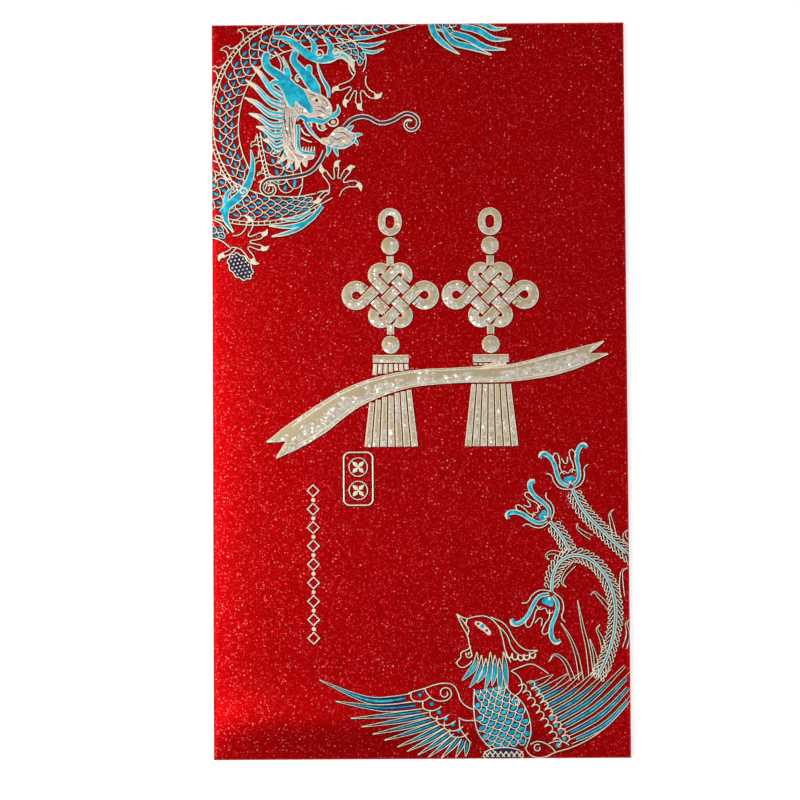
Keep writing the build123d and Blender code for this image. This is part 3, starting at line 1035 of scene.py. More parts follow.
    def _mouth(self) -> None:
        """Draws the lips, tongue, teeth, nostril and the tufts of the chin."""
        strands = (
            ([(-27.4, 60.6), (-26.8, 61.5), (-25.8, 61.3), (-24.8, 60.6), (-23.4, 60.7), (-22, 60.2),
              (-20.6, 60.6), (-19.8, 61.4)], (0.7, 1.0, 1.2, 1.1, 0.7)),
            ([(-20.2, 61.2), (-18.8, 61.7), (-17.9, 62.6), (-18.1, 64.1)], (1.0, 1.1, 0.9, 0.15)),
            ([(-27, 59.6), (-27, 57), (-26.9, 54.4), (-26.2, 53.5), (-24.8, 53.1), (-23.2, 53)],
             (0.8, 0.8, 0.7)),
            ([(-25.5, 60.4), (-24.6, 58.8), (-23.4, 57.2), (-21.9, 55.8)], (0.7, 0.8, 0.5, 0.3)),
            ([(-16, 58), (-15.2, 58.7), (-14.5, 59.3)], (1.0, 0.8, 0.15)),
            ([(-14.5, 57), (-13.6, 57.2), (-12.5, 57.3)], (1.0, 0.8, 0.15)),
            ([(-14.8, 56), (-14, 55.6), (-13.6, 54.7)], (1.0, 0.8, 0.15)),
            ([(-20.2, 55.1), (-20.1, 53.8), (-20.5, 52.3)], (1.1, 0.9, 0.15)),
            ([(-18.7, 54.7), (-18.5, 53.6), (-18, 52.3)], (1.1, 0.9, 0.15)),
            ([(-18.4, 54.4), (-16.6, 54.5), (-15.1, 55.4)], (0.6, 0.7, 0.4)),
        )
        for points, widths in strands:
            self.strand(points, *widths)
        for tooth in ([(-22.7, 60), (-22.5, 58.8), (-21.6, 58.2), (-20.5, 58.7)], [(-24, 60), (-23.9, 59)],
                      [(-26.3, 58.8), (-25.6, 57.6), (-24.3, 57)],
                      [(-26.3, 56.6), (-25.2, 56), (-23.9, 55.6)],
                      [(-20.4, 59.9), (-19.4, 59.2), (-18.4, 59.4), (-18, 60.4), (-18.6, 61.2)]):
            self.line(tooth, 0.4, 0.3)
        for k in range(5):
            self.line([(-26 + 0.65 * k, 53.6), (-25.9 + 0.65 * k, 54.6)], 0.4, 0.15)
        self.dot((-21.4, 59.1), 0.55, Ink.MOTTLED)
        self.dot((-19.1, 60.1), 0.5, Ink.MOTTLED)

    def _mane(self) -> None:
        """Draws the locks of the mane, each of two wavy strands that meet in a pale leaf-shaped tip."""
        tips = [(-37.4, 73.2), (-38.8, 69.8), (-39, 65.8), (-38, 62.2), (-36.4, 59.2), (-34.8, 56.2)]
        for lock, tip in enumerate(tips):
            middle = (-30.4, 65.8 - 2.15 * lock)
            for side in (-0.5, 0.5):
                root = (middle[0], middle[1] + side * 1.1)
                low = between(root, tip, 0.35, -0.9 + 0.2 * side)
                high = between(root, tip, 0.7, 0.35 * side)
                self.strand([root, low, high, tip], 0.7, 0.7, 0.5, 0.12, over=True)
            leaf = [between(middle, tip, 0.62, -0.15), between(middle, tip, 0.84), tip]
            self.line(leaf, 0.2, 1.0, 0.15, ink=Ink.TOP)

    def _claws(self) -> None:
        """Draws three open claws with pale talons."""
        for setting in (Setting((-13.4, 69.4), 158, 1.05), Setting((-18.6, 45.2), -12, 1.0, True),
                        Setting((-40.2, 33.2), -96, 1.05)):
            self._claw(setting)
        for wrist in ([(-22.8, 44.2), (-21, 44.6), (-20, 44.2)], [(-22.4, 41.4), (-20.8, 42.2), (-19.4, 43)],
                      [(-47, 38.6), (-44.4, 37.4), (-42.6, 35.2)], [(-47, 34.4), (-44.4, 33.6), (-42.4, 32)]):
            self.line(wrist)
        self.scales(Limb([(-48, 36.6), (-45.4, 35.6), (-42.8, 33.6)], 1.9, 1.6, 1.2), 2, 1.15, 0.23)

    def _claw(self, setting: Setting) -> None:
        """Draws one claw, four fingers forward and one back.

        Args:
            setting: Where it stands.
        """
        outline = [(-1.2, -1.6), (-1.6, -0.2), (-2.9, 0.9), (-4.6, 1.4), (-4.5, 2.3), (-2.8, 2.2),
                   (-1.5, 1.7), (-1.9, 3.2), (-2.4, 4.4), (-1.6, 4.8), (-0.8, 3.4), (-0.3, 2.2), (0.1, 3.4),
                   (0.4, 4.8), (1.2, 4.7), (1.0, 3.2), (0.9, 1.9), (2.0, 2.6), (3.1, 3.4), (3.6, 2.7),
                   (2.4, 1.4), (1.5, 0.3), (1.2, -1.4)]
        back = ([(1.3, -0.6), (2.6, -1.6), (3.4, -3.0)], [(1.2, -1.5), (2.0, -2.2), (2.6, -3.3)])
        for points in (outline, *back):
            self.line(setting.lay(points))
        talons = [[(-4.5, 1.9), (-5.3, 1.5), (-5.7, 0.5)], [(-2.0, 4.5), (-2.4, 5.3), (-3.3, 5.6)],
                  [(0.8, 4.7), (0.9, 5.6), (0.2, 6.3)], [(3.3, 3.0), (4.1, 3.6), (4.2, 4.6)],
                  [(3.0, -3.0), (3.5, -3.9), (4.5, -4.0)]]
        for talon in talons:
            self.line(setting.lay(talon), 1.2, 1.05, 0.2)

    def _flames(self) -> None:
        """Draws the turquoise cloud bands, fins and the tail's plume."""
        bands = [
            ([(-32.6, 79.4), (-29.2, 79), (-26.6, 76.9), (-23.6, 74.8), (-20.2, 74.4), (-17.2, 75.3),
              (-15.2, 73.6), (-14.2, 71.4)], (0.5, 1.2, 1.5, 2.0, 1.9, 1.0, 0.2)),
            ([(-23.4, 75.4), (-23.2, 77.2), (-24.8, 79.8)], (1.7, 1.2, 0.2)),
            ([(-19.6, 75.2), (-19.6, 77.4), (-21.6, 79.8)], (1.7, 1.2, 0.2)),
            ([(-37.6, 54), (-37.2, 50.6), (-38, 47), (-39.6, 44.2), (-42.4, 41.8), (-44.4, 39.8)],
             (0.2, 1.0, 1.5, 1.9, 1.8, 1.2)),
            ([(-42.8, 42), (-43.4, 38.6), (-41.6, 35.4)], (1.6, 1.3, 0.2)),
            ([(-41.4, 45.6), (-43, 44), (-43.4, 42)], (0.2, 0.9, 1.2)),
            ([(-21.6, 41.2), (-24.8, 37.8), (-29, 36.6), (-33.6, 36.8)], (0.8, 1.1, 0.9, 0.2)),
            ([(-22.8, 39.6), (-26.4, 36.4), (-30, 35), (-33, 34.4)], (0.6, 0.8, 0.8, 0.2)),
            ([(-24.2, 40), (-27.4, 38.2), (-31.2, 38.4)], (0.6, 0.8, 0.2)),
            ([(-14.4, 79), (-11.6, 79.2), (-9, 79.6)], (0.9, 0.8, 0.2)),
            ([(-13.4, 77.6), (-10.6, 77.4), (-7.2, 78.4)], (0.9, 0.9, 0.2)),
            ([(-12.4, 76.2), (-10, 75.8), (-7.6, 76.6)], (0.8, 0.7, 0.2)),
            ([(3, 83.2), (3.8, 80), (6.4, 77.2), (9.4, 75.2)], (1.5, 1.4, 1.1, 0.2)),
            ([(5.6, 81.4), (8, 78), (12, 76.8), (16.6, 75)], (1.0, 1.3, 1.3, 0.2)),
            ([(8, 80), (11.6, 78.8), (15.2, 76.8), (19.8, 76.2)], (1.3, 1.5, 1.2, 0.2)),
            ([(9.8, 81.6), (13.8, 80.6), (17, 78.7), (21.2, 78.6)], (1.3, 1.5, 1.2, 0.2)),
            ([(11, 83.4), (14.8, 82.2), (17.2, 81), (20, 81.2)], (1.2, 1.2, 1.0, 0.2)),
        ]
        for points, widths in bands:
            self.strand(points, *widths, over=True)
        for centre in ((-22.2, 75.6), (-18.4, 75.8), (-39.4, 44.6)):
            self.line(arc(centre, 1.2, 250, 470, 9, 0.25), 0.3, ink=Ink.TOP)

    def _whiskers(self) -> None:
        """Draws the two long whiskers, dark with a gold rim and scrolled ends."""
        upper = [(-16.6, 59), (-14.6, 60.8), (-11.6, 61.2), (-8.6, 59.8), (-5.6, 60.4), (-3.2, 61.8)]
        upper += arc((-1.8, 59.6), 2.2, 90, -400, 9, 0.5)
        lower = [(-21, 53.6), (-22, 51.4), (-24.4, 48.8), (-28.4, 47.8), (-32, 47.4)]
        lower += arc((-33.4, 45.2), 2.2, 90, 400, 9, 0.5)
        for whisker in (upper, lower):
            self.strand(whisker, 0.9, 0.85, 0.8, 0.7, 0.5, core=Ink.DARK, over=True)

    def _pearl(self) -> None:
        """Draws the pearl under the lower claw: a dark oval with rows of pale beads."""
        setting = Setting(self.pearl, self.pearl_turn)
        half, squeeze = self.pearl_half
        outline = ring((0, 0), half, squeeze / half, 20)
        lobed = setting.lay([(x * (1.03 - 0.13 * (k % 2)), y * (1.03 - 0.13 * (k % 2)))
                             for k, (x, y) in enumerate(outline)])
        self.fill(lobed, Ink.NAVY)
        self.line(lobed, 0.24, closed=True)
        for row in range(-2, 3):
            for k in range(-4, 5):
                x, y = (k + 0.5 * (row % 2)) * self.bead_pitch, row * 0.87 * self.bead_pitch
                if math.hypot(x / half, y / squeeze) < 0.84:
                    self.dot(setting.lay([(x, y)])[0], 0.2)


@dataclass
class Phoenix(Drawing):
    """The phoenix at the bottom right, cropped by the envelope's right and bottom folds."""

    body: Limb = Limb(
        [(15, -66.2), (15.6, -69), (16.9, -72), (18.2, -75), (19.2, -78), (19.6, -80.6)],
        3.4, 4.4, 5.8, 6.0, 5.2, 3.4)
    stub: Point = (18, -81.6)
    stub_radius: float = 4.4

    def draw(self) -> Drawing:
        """Draws the whole phoenix.

        Returns:
            The finished drawing.
        """
        for part in (self._trunk, self._face, self._left_wing, self._right_wing, self._tail):
            part()
        return self

    def _trunk(self) -> None:
        """Draws the scaled body, the stub below it and the neck's hackles."""
        self.fans(self.body, 5, 1.15)
        self.edges(self.body)
        oval = ring(self.stub, self.stub_radius, 0.4, 12)
        self.fill(oval, Ink.NAVY)
        self.line(oval, closed=True)
        for k in range(7):
            x = self.stub[0] + 1.2 * (k - 3)
            for lean in (-0.7, 0.7):
                self.line([(x - lean, self.stub[1] - 0.9), (x + lean, self.stub[1] + 0.9)], 0.24)
        for k in range(7):
            share = k / 6
            root = (12.3 + 5.9 * share, -58.7 - 0.7 * (k % 3))
            tip = (8.9 + 10 * share, -64.9 - 1.9 * share - 1.3 * (k % 2))
            middle = between((root[0] + 2.2 * (1 - share), root[1]), tip, 0.5)
            self.blade([root, middle, tip], 0.08, 1.1, 1.2, 0.1)
            quill = Spine([root, middle, tip])
            shaft = [quill.beside(quill.length * along, 0.0) for along in (0.25, 0.45, 0.65, 0.92)]
            self.line(shaft, 0.2, 0.7, 0.8, 0.1, ink=Ink.TURQUOISE)

    def _face(self) -> None:
        """Draws the head, beak, eye, crest and wattle."""
        lines = ([(11.2, -59.4), (10.6, -57), (10.2, -55), (9, -52.8), (7.8, -50.2)],
                 [(7.8, -50.2), (10, -51.2), (12, -50.8), (14.4, -50.8), (16.8, -52.6), (18, -55.6),
                  (18.6, -58.4), (19.8, -61)],
                 [(10.2, -51.3), (9.9, -52.6), (10.5, -53.6), (10.2, -55)],
                 [(8, -50.4), (9.4, -52), (10.4, -53.5)],
                 [(15.4, -50.9), (18.6, -52.6), (20.6, -56), (23, -58.2), (25.8, -58.4)],
                 [(16.6, -52.4), (19, -55), (20.2, -58), (22.4, -59.6), (25.8, -58.4)],
                 [(11, -57.4), (10, -58.2), (8.8, -58.8), (8.6, -60), (7.8, -60.8), (8.6, -62), (10.2, -61.6),
                  (11.2, -60.6)],
                 arc((10.6, -59.2), 0.9, 150, 430, 7, 0.2))
        for points in lines:
            self.line(points)
        self.fill([(11.8, -52.1), (12.8, -51.9), (14.2, -52.8), (15.3, -54.9), (13.7, -54), (12.4, -53)])
        for x, y in ((12.6, -52.4), (14.5, -53.9)):
            self.dot((x, y), 0.3, Ink.DARK)
        self.dot((13.5, -52.95), 0.48, Ink.TURQUOISE)
        for k in range(5):
            x, y = 18.8 + 1.3 * k, -58.7 - 0.62 * math.sin(k * 0.75)
            self.line([(x, y), (x + 0.2, y - 1.1), (x + 1.0, y - 1.2), (x + 1.3, y - 0.3)], 0.34)

    def _left_wing(self) -> None:
        """Draws the shoulder, coverts and spread feathers of the wing on the left."""
        feathers = [((-2.6, -68.6), (-22.8, -64.6)), ((-0.5, -70.2), (-19.2, -69.3)),
                    ((0.3, -71.5), (-15.8, -73)), ((1.5, -72.3), (-13.4, -74.9)),
                    ((2.4, -73.3), (-11, -76.6)), ((3.3, -74.1), (-8.4, -78)), ((4.3, -74.9), (-5.6, -79.6)),
                    ((5.3, -75.7), (-3.4, -80.6)), ((6.3, -76.4), (-1, -81.4)), ((7.3, -77), (1.3, -81.9)),
                    ((8.3, -77.5), (4.2, -82.1)), ((9.2, -78), (7.4, -82)), ((10, -78.6), (9.6, -81.8))]
        for k, (root, tip) in enumerate(feathers):
            sag = -2.3 if k == 0 else -1.0 if k == 1 else -0.2
            middle = between(root, tip, 0.45, sag)
            leaf = (1.7, 1.7, 0.9, 0.1) if k < 2 else (1.05, 1.15, 0.7, 0.1)
            self.feather([root, middle, tip], leaf, 0.75 if k == 0 else 0.42, 0.85 if k < 2 else 0.7)
        lines = ([(-3, -67.6), (-1, -67), (0.6, -66.6), (3, -65.8), (5, -65.5), (7, -66), (8, -67.6),
                  (8.4, -69), (9.6, -70.4), (11.2, -71.2)],
                 arc((5.1, -67.7), 1.6, 280, 480, 10, 0.5),
                 [(0.6, -66.6), (1.2, -67.8), (2.2, -68.8), (4, -69.4), (5.4, -69.2)],
                 [(8, -73), (9.4, -73.6), (11.6, -73.6)],
                 [(8.2, -73.4), (8.4, -75.4), (9.4, -77), (10.8, -78.8)])
        for points in lines:
            self.line(points)
        for x, y in ((-0.5, -68), (2.1, -70), (3.7, -71.8), (5.2, -73.2), (6.8, -74.5), (8, -76)):
            self.dot((x, y), 0.6, Ink.NAVY)
            self.dot((x, y), 0.38, Ink.TURQUOISE)
            covert = [(-1.9, 0.5), (-1.9, -0.7), (-0.7, -1.4), (1.1, -1.2), (2.2, -0.5)]
            self.line(Setting((x, y)).lay(covert))

    def _right_wing(self) -> None:
        """Draws the shoulder, coverts and raised feathers of the wing on the right."""
        tips = [(29.2, -63.8), (32.4, -63.6), (35.6, -63.3), (38.8, -63), (42, -62.5), (45.2, -62),
                (48.4, -61.7), (48.7, -63.9), (49, -66.2)]
        for k, tip in enumerate(tips):
            share = k / (len(tips) - 1)
            root = (24 + 9 * share, -66.2 - 12.4 * share)
            middle = between(root, tip, 0.5, -0.2 - 1.9 * share)
            leaf = (1.05, 1.3, 0.95, 0.1 + 0.6 * share)
            self.feather([root, middle, tip], leaf, 0.36 + 0.42 * share, 0.35 + 0.65 * share)
        for row in range(2):
            for k in range(9):
                x, y = 21.4 + 1.9 * row + 7.6 * k / 8, -66.2 - 12 * k / 8 + 0.7 * row
                self.line([(x, y), (x + 1.2, y + 0.4), (x + 1.8, y - 0.5), (x + 1.1, y - 1.3)])
                if row and k > 4:
                    self.dot((x + 0.6, y - 0.4), 0.42, Ink.TURQUOISE)
        self.dot((30.2, -79.4), 0.55, Ink.TURQUOISE)
        lines = ([(19.8, -62.9), (21.4, -64), (22.2, -65.6), (22, -67.2), (20.6, -68.4), (19.8, -69.4)],
                 [(20, -62.8), (22, -62), (24.4, -61.4), (26.2, -62.2), (28.2, -63.6)],
                 arc((25.6, -80), 0.9, 60, 330, 8, 0.5), arc((21, -69.9), 0.8, 120, -300, 7, 0.3),
                 [(22.8, -80), (24, -81.6), (26.4, -82.2), (29.6, -81), (34, -79.6), (39.8, -76.2),
                  (44, -72.4), (47.4, -68.4)],
                 [(24, -79.2), (25.4, -78.5), (27.4, -79), (28.8, -80), (29.6, -81)],
                 [(28, -79), (29.6, -78.5), (31.2, -78.6), (32.6, -79.4)])
        for points in lines:
            self.line(points)

    def _tail(self) -> None:
        """Draws the three long tail feathers with their blooms, and the loose tendrils."""
        for stem in ([(33.8, -22.4), (36, -27), (41, -32.4), (48, -39)],
                     [(28.8, -29.8), (31, -32.6), (33.2, -36.4)],
                     [(29, -45.4), (29.4, -41.6), (31.6, -38.2), (35.4, -37.4), (39.6, -40), (42.6, -45.4),
                      (43.2, -52), (41.2, -60), (38.8, -64.8)]):
            self.line(stem, 0.8, ink=Ink.RIM)
            self.line(stem, 0.36, ink=Ink.TURQUOISE)
            self.barbs(Spine(stem), 0.9, 1.15, 1.15)
        places = (Setting((33.6, -22.2), 12), Setting((28.6, -29.4), 54, 0.95),
                  Setting((29, -45.8), 156, 1.1))
        for setting in places:
            self._bloom(setting)
        tendrils = ([(38, -33.4), (36, -32.2), (34.8, -31), (34.9, -30.2)],
                    [(43.2, -33.4), (42.6, -30.4), (42.2, -28), (43, -27.2)],
                    [(47, -35), (45.6, -33.8), (45.4, -32.6), (46.2, -31.8)],
                    [(31.4, -37.2), (29.2, -36.6), (27.9, -37.4), (28.5, -38.3)],
                    [(34, -39.4), (32, -41.6), (31.4, -43.6), (32.3, -44.4)],
                    [(42, -49.4), (40, -47), (38.2, -45.4), (37.7, -46.2)],
                    [(44.8, -46.6), (44.6, -43.6), (44.8, -41), (46, -40.2)],
                    [(45.2, -58), (46, -55), (45.6, -52.6), (46.6, -51.6)],
                    [(40.6, -58.6), (40, -56), (39, -53.6), (39.7, -52.8)],
                    [(33.6, -65), (31.8, -60.8), (29.4, -59.4), (28.4, -60.8)],
                    [(35.4, -65), (34.6, -60), (33, -55.6), (31, -52.4)],
                    [(37.6, -64), (37, -58.4), (35.8, -53), (34.8, -47.4)],
                    [(38.8, -64.4), (38.6, -60), (37.4, -56)])
        for tendril in tendrils:
            self.blade(tendril, 1.0, 0.85, 0.55, 0.1)

    def _bloom(self, setting: Setting) -> None:
        """Draws one bloom, which opens along its own +Y.

        Args:
            setting: Where it stands.
        """
        petal = [(0.4, 0.3), (2.0, 1.5), (2.5, 3.8), (2.6, 6), (3.5, 8), (4.8, 8.7), (5.4, 7.9)]
        sepal = [(0.2, -0.4), (2.4, 0.3), (3.5, 2), (3.8, 3.6), (4.8, 4.2)]
        inner = [(0.9, 3.2), (1.5, 4.6), (1.2, 6.6), (1.7, 8.2), (2.5, 7.4), (2.4, 6.4)]
        for hand in (-1, 1):
            sides = ([(x * hand, y) for x, y in side] for side in (petal, sepal, inner))
            outer, leaf, crown = map(setting.lay, sides)
            self.strand(outer, 0.6, 0.8, 0.8, 0.9, 1.0, 0.6)
            self.line(leaf)
            self.line(crown)
        self.line(setting.lay([(-1.8, 3.4), (-0.9, 3.9), (0, 3.2), (0.9, 3.9), (1.8, 3.4)]))
        self.line(setting.lay([(-0.7, 6.8), (0, 5.4), (0.7, 6.8)]))
        heart = [(0, 0.9), (1.0, 1.4), (1.1, 2.4), (0.3, 2.5), (-0.3, 2.5), (-1.1, 2.4), (-1.0, 1.4)]
        self.fill(setting.lay(heart), Ink.TURQUOISE)
        self.line(setting.lay([(0, 0.8), (0, 1.5)]), 0.7, 0.4)


@dataclass
class Emblem:
    """The middle of the front: two endless knots with tassels, and a ribbon swept across them."""

    place: Point = (4.7, 21.0)
    spacing: float = 22.4
    strand: float = 2.3
    pitch: float = 3.3
    ear_radius: float = 2.1
    cord: float = 1.6
    cord_length: float = 2.2
    bead_radius: float = 2.0
    hanger: Point = (5.2, 6.2)
    gap: float = 0.3
    tassel_length: float = 20.5
    threads: int = 7
    head_pitch: float = 1.15
    foot_pitch: float = 1.75
    ribbon_line: list[Point] = field(default_factory=lambda: [
        (-38, -34.5), (-29, -29), (-19, -22.5), (-8, -19), (4, -18), (16, -17.5), (28, -15), (37, -12)])
    ribbon_widths: tuple[float, ...] = (5.2, 6.4, 5.0, 3.8, 3.4, 3.8, 5.0, 3.4)
    ribbon_lanes: tuple[Point, ...] = ((-0.425, 0.09), (0.0, 0.68), (0.425, 0.09))
    notch: float = 4.0
    tail_root: float = 2.5
    tail_spread: float = 1.5
    collar: float = 1.7
    # Width of the gold rim round each band, a painted highlight along the embossed edge.
    rim: float = 0.16

    def _band(self, drawing: Drawing, points: list[Point], *widths: float, closed: bool = False,
              straight: bool = False) -> None:
        """Draws a raised champagne band with a thin gold rim, a painted highlight along its embossed edge.

        Args:
            drawing: The drawing to add to.
            points: The band's middle line.
            widths: Widths of the band, spread evenly along it.
            closed: Whether its ends meet.
            straight: Whether its corners are sharp.
        """
        drawing.line(points, *widths, ink=Ink.RIM, closed=closed, straight=straight)
        slim = (max(width - 2 * self.rim, 0.1) for width in widths)
        drawing.line(points, *slim, ink=Ink.CHAMPAGNE, closed=closed, straight=straight)

    @property
    def tip(self) -> float:
        """Height of the knot's upper corner over its middle."""
        return self.pitch * math.sqrt(2) + self.strand / math.sqrt(2) + self.gap

    def _middle(self, side: int) -> Point:
        """Gives the middle of the left knot for -1, or of the right knot for 1."""
        return self.place[0] + side * self.spacing / 2, self.place[1]

    def _runs(self, low: float, high: float, breaks: list[float]) -> list[Point]:
        """Gives the stretches of a strand that show between the strands that pass over it.

        Args:
            low: Where the strand starts.
            high: Where it ends.
            breaks: Middles of the strands that pass over it.

        Returns:
            The start and end of each stretch.
        """
        half = self.strand / 2 + self.gap
        cuts = [low, *(edge for middle in sorted(breaks) for edge in (middle - half, middle + half)), high]
        return [(start, end) for start, end in zip(cuts[::2], cuts[1::2]) if end > start]

    def knot(self, side: int) -> Drawing:
        """Draws one knot with its cords, beads and hanging loop.

        Args:
            side: -1 for the left knot, 1 for the right one.

        Returns:
            The knot's strokes.
        """
        drawing = Drawing()
        middle = self._middle(side)
        turned = Setting(middle, 45)
        reach = self.pitch + self.strand / 2 + self.gap
        ear = self.pitch + self.ear_radius
        loop = self.pitch / 2
        for i in (-1, 0, 1):
            low, high = -ear if i == 1 else -reach, ear if i == -1 else reach
            lane = i * self.pitch
            under = [j * self.pitch for j in (-1, 0, 1) if (i + j) % 2]
            over = [j * self.pitch for j in (-1, 0, 1) if not (i + j) % 2]
            for start, end in self._runs(low, high, under):
                self._band(drawing, turned.lay([(start, lane), (end, lane)]), self.strand)
            for start, end in self._runs(low, high, over):
                self._band(drawing, turned.lay([(lane, start), (lane, end)]), self.strand)
        for way in (-1, 1):
            for bend in (arc((reach, loop), loop, -90, 180), arc((loop, reach), loop, 0, 180),
                         arc((ear, -ear), self.ear_radius, 90, -270, 10)):
                self._band(drawing, turned.lay([(way * x, way * y) for x, y in bend]), self.strand)
            cord = [(0, way * self.tip), (0, way * (self.tip + self.cord_length))]
            self._band(drawing, Setting(middle).lay(cord), self.cord)
            self._bead(drawing, (middle[0], middle[1] + way * self._bead_height()))
        self._loop(drawing, middle)
        return drawing

    def _bead_height(self) -> float:
        """Gives the height of a bead's middle over the knot's middle."""
        return self.tip + self.cord_length + self.gap + self.bead_radius

    def _bead(self, drawing: Drawing, centre: Point) -> None:
        """Draws a round bead.

        Args:
            drawing: The drawing to add to.
            centre: The bead's middle.
        """
        shares = [-1.0, -0.92, -0.7, -0.38, 0.0, 0.38, 0.7, 0.92, 1.0]
        points = [(centre[0] + share * self.bead_radius, centre[1]) for share in shares]
        self._band(drawing, points, *[self._chord(share) for share in shares], straight=True)

    def _chord(self, share: float) -> float:
        """Gives a bead's width at a share of its radius from its middle."""
        return max(2 * self.bead_radius * math.sqrt(1 - share**2), 0.1)

    def _loop(self, drawing: Drawing, middle: Point) -> None:
        """Draws the loop that a knot hangs by.

        Args:
            drawing: The drawing to add to.
            middle: The knot's middle.
        """
        radius = (self.hanger[0] - self.cord) / 2
        straight = (self.hanger[1] - self.hanger[0]) / 2
        height = self._bead_height() + self.bead_radius + self.gap + self.hanger[1] / 2
        outline = arc((0, straight), radius, 0, 180, 8) + arc((0, -straight), radius, 180, 180, 8)
        setting = Setting((middle[0], middle[1] + height))
        self._band(drawing, setting.lay(outline), self.cord, closed=True)

    def tassel(self, side: int) -> Drawing:
        """Draws one tassel, broken where the ribbon passes over it.

        Args:
            side: -1 for the left tassel, 1 for the right one.

        Returns:
            The tassel's strokes.
        """
        drawing = Drawing()
        middle = self._middle(side)
        top = middle[1] - self._bead_height() - self.bead_radius - self.gap
        ribbon = self._ribbon_limb()
        reach = self.threads * self.head_pitch / 2
        height = top - self.collar / 2
        self._band(drawing, [(middle[0] - reach, height), (middle[0] + reach, height)], self.collar)
        steps = 60
        for k in range(self.threads):
            place = k - (self.threads - 1) / 2
            head = (middle[0] + place * self.head_pitch, top - self.collar - self.gap)
            foot = (middle[0] + place * self.foot_pitch, top - self.tassel_length)
            runs: list[list[float]] = [[]]
            for step in range(steps + 1):
                if self._covered(between(head, foot, step / steps), ribbon):
                    runs.append([])
                else:
                    runs[-1].append(step / steps)
            for run in filter(None, runs):
                widths = [self.head_pitch + (self.foot_pitch - self.head_pitch) * share - self.gap
                          for share in (run[0], run[-1])]
                self._band(drawing, [between(head, foot, run[0]), between(head, foot, run[-1])], *widths)
        return drawing

    def _ribbon_limb(self) -> Limb:
        """Gives the ribbon's middle line and half widths."""
        return Limb(Setting(self.place).lay(self.ribbon_line), *(width / 2 for width in self.ribbon_widths))

    def _covered(self, point: Point, ribbon: Limb) -> bool:
        """Tells whether a point lies under the ribbon or in the gap beside it.

        Args:
            point: The point.
            ribbon: The ribbon.

        Returns:
            True where it does.
        """
        nearest = min(range(len(ribbon.samples)), key=lambda k: math.dist(ribbon.samples[k], point))
        half = ribbon.halves.width_at(nearest / (len(ribbon.samples) - 1))
        return math.dist(ribbon.samples[nearest], point) < half + self.gap

    def ribbon(self) -> Drawing:
        """Draws the ribbon, with selvage lines and a swallow tail at each end.

        Returns:
            The ribbon's strokes.
        """
        drawing = Drawing()
        limb = self._ribbon_limb()
        start, end = self.notch, limb.length - self.notch
        count = 16
        places = [start + (end - start) * k / count for k in range(count + 1)]
        widths = [2 * limb.half_at(place) for place in places]
        drawing.line([limb.beside(place, 0.0) for place in places], *widths, ink=Ink.RIM)
        for lane, part in self.ribbon_lanes:
            points = [limb.beside(place, lane * width) for place, width in zip(places, widths)]
            drawing.line(points, *(part * width for width in widths), ink=Ink.CHAMPAGNE)
        tails = ((start, start + self.tail_root, 0.0), (end, end - self.tail_root, limb.length))
        for base, root, tip in tails:
            half = limb.half_at(base)
            for side in (-0.5, 0.5):
                spots = ((root, 1.0), (base, 1.0), (tip, self.tail_spread))
                tail = [limb.beside(place, side * half * wide) for place, wide in spots]
                self._band(drawing, tail, half, half, 0.3)
        return drawing


@dataclass
class Seal:
    """The small framed seal with two flowers in it."""

    place: Point = (-13.9, -20.0)
    width: float = 6.8
    height: float = 12.1
    corner: float = 1.3
    line: float = 0.32
    flower_pitch: float = 5.2
    petals: int = 4
    petal: Point = (1.6, 1.0)
    gap: float = 0.3

    def frame(self) -> Drawing:
        """Draws the rounded frame.

        Returns:
            The frame's strokes.
        """
        drawing = Drawing()
        x = (self.width - self.line) / 2 - self.corner
        y = (self.height - self.line) / 2 - self.corner
        corners = [arc((east * x, north * y), self.corner, turn, 90, 5)
                   for east, north, turn in ((1, 1, 0), (-1, 1, 90), (-1, -1, 180), (1, -1, 270))]
        outline = [point for corner in corners for point in corner]
        drawing.line(Setting(self.place).lay(outline), self.line, closed=True, straight=True)
        return drawing

    def flowers(self) -> Drawing:
        """Draws the two flowers, one above the other.

        Returns:
            The flowers' strokes.
        """
        drawing = Drawing()
        length, width = self.petal
        leaf = [(self.gap / 2 + length * share, 0.0) for share in (0.0, 0.45, 1.0)]
        for way in (-0.5, 0.5):
            centre = (self.place[0], self.place[1] + way * self.flower_pitch)
            for k in range(self.petals):
                drawing.line(Setting(centre, 45 + 360 * k / self.petals).lay(leaf), 0.2, width, 0.2)
            drawing.dot(centre, 0.28)
            drawing.line(ring(centre, 2.05, count=12), 0.22, closed=True)
        return drawing


@dataclass
class Column:
    """The running chain of lozenges and dots beside the seal."""

    place: Point = (-24.0, -39.0)
    links: int = 9
    pitch: float = 4.1
    lozenge: float = 2.2
    line: float = 0.38
    bead: float = 0.45

    def draw(self) -> Drawing:
        """Draws the chain.

        Returns:
            The chain's strokes.
        """
        drawing = Drawing()
        reach = (self.lozenge - self.line) / math.sqrt(2)
        for k in range(self.links):
            centre = (self.place[0], self.place[1] + ((self.links - 1) / 2 - k) * self.pitch)
            corners = [(reach, 0.0), (0.0, reach), (-reach, 0.0), (0.0, -reach)]
            drawing.line(Setting(centre).lay(corners), self.line, closed=True, straight=True)
            if k:
                drawing.dot((centre[0], centre[1] + self.pitch / 2), self.bead)
        return drawing


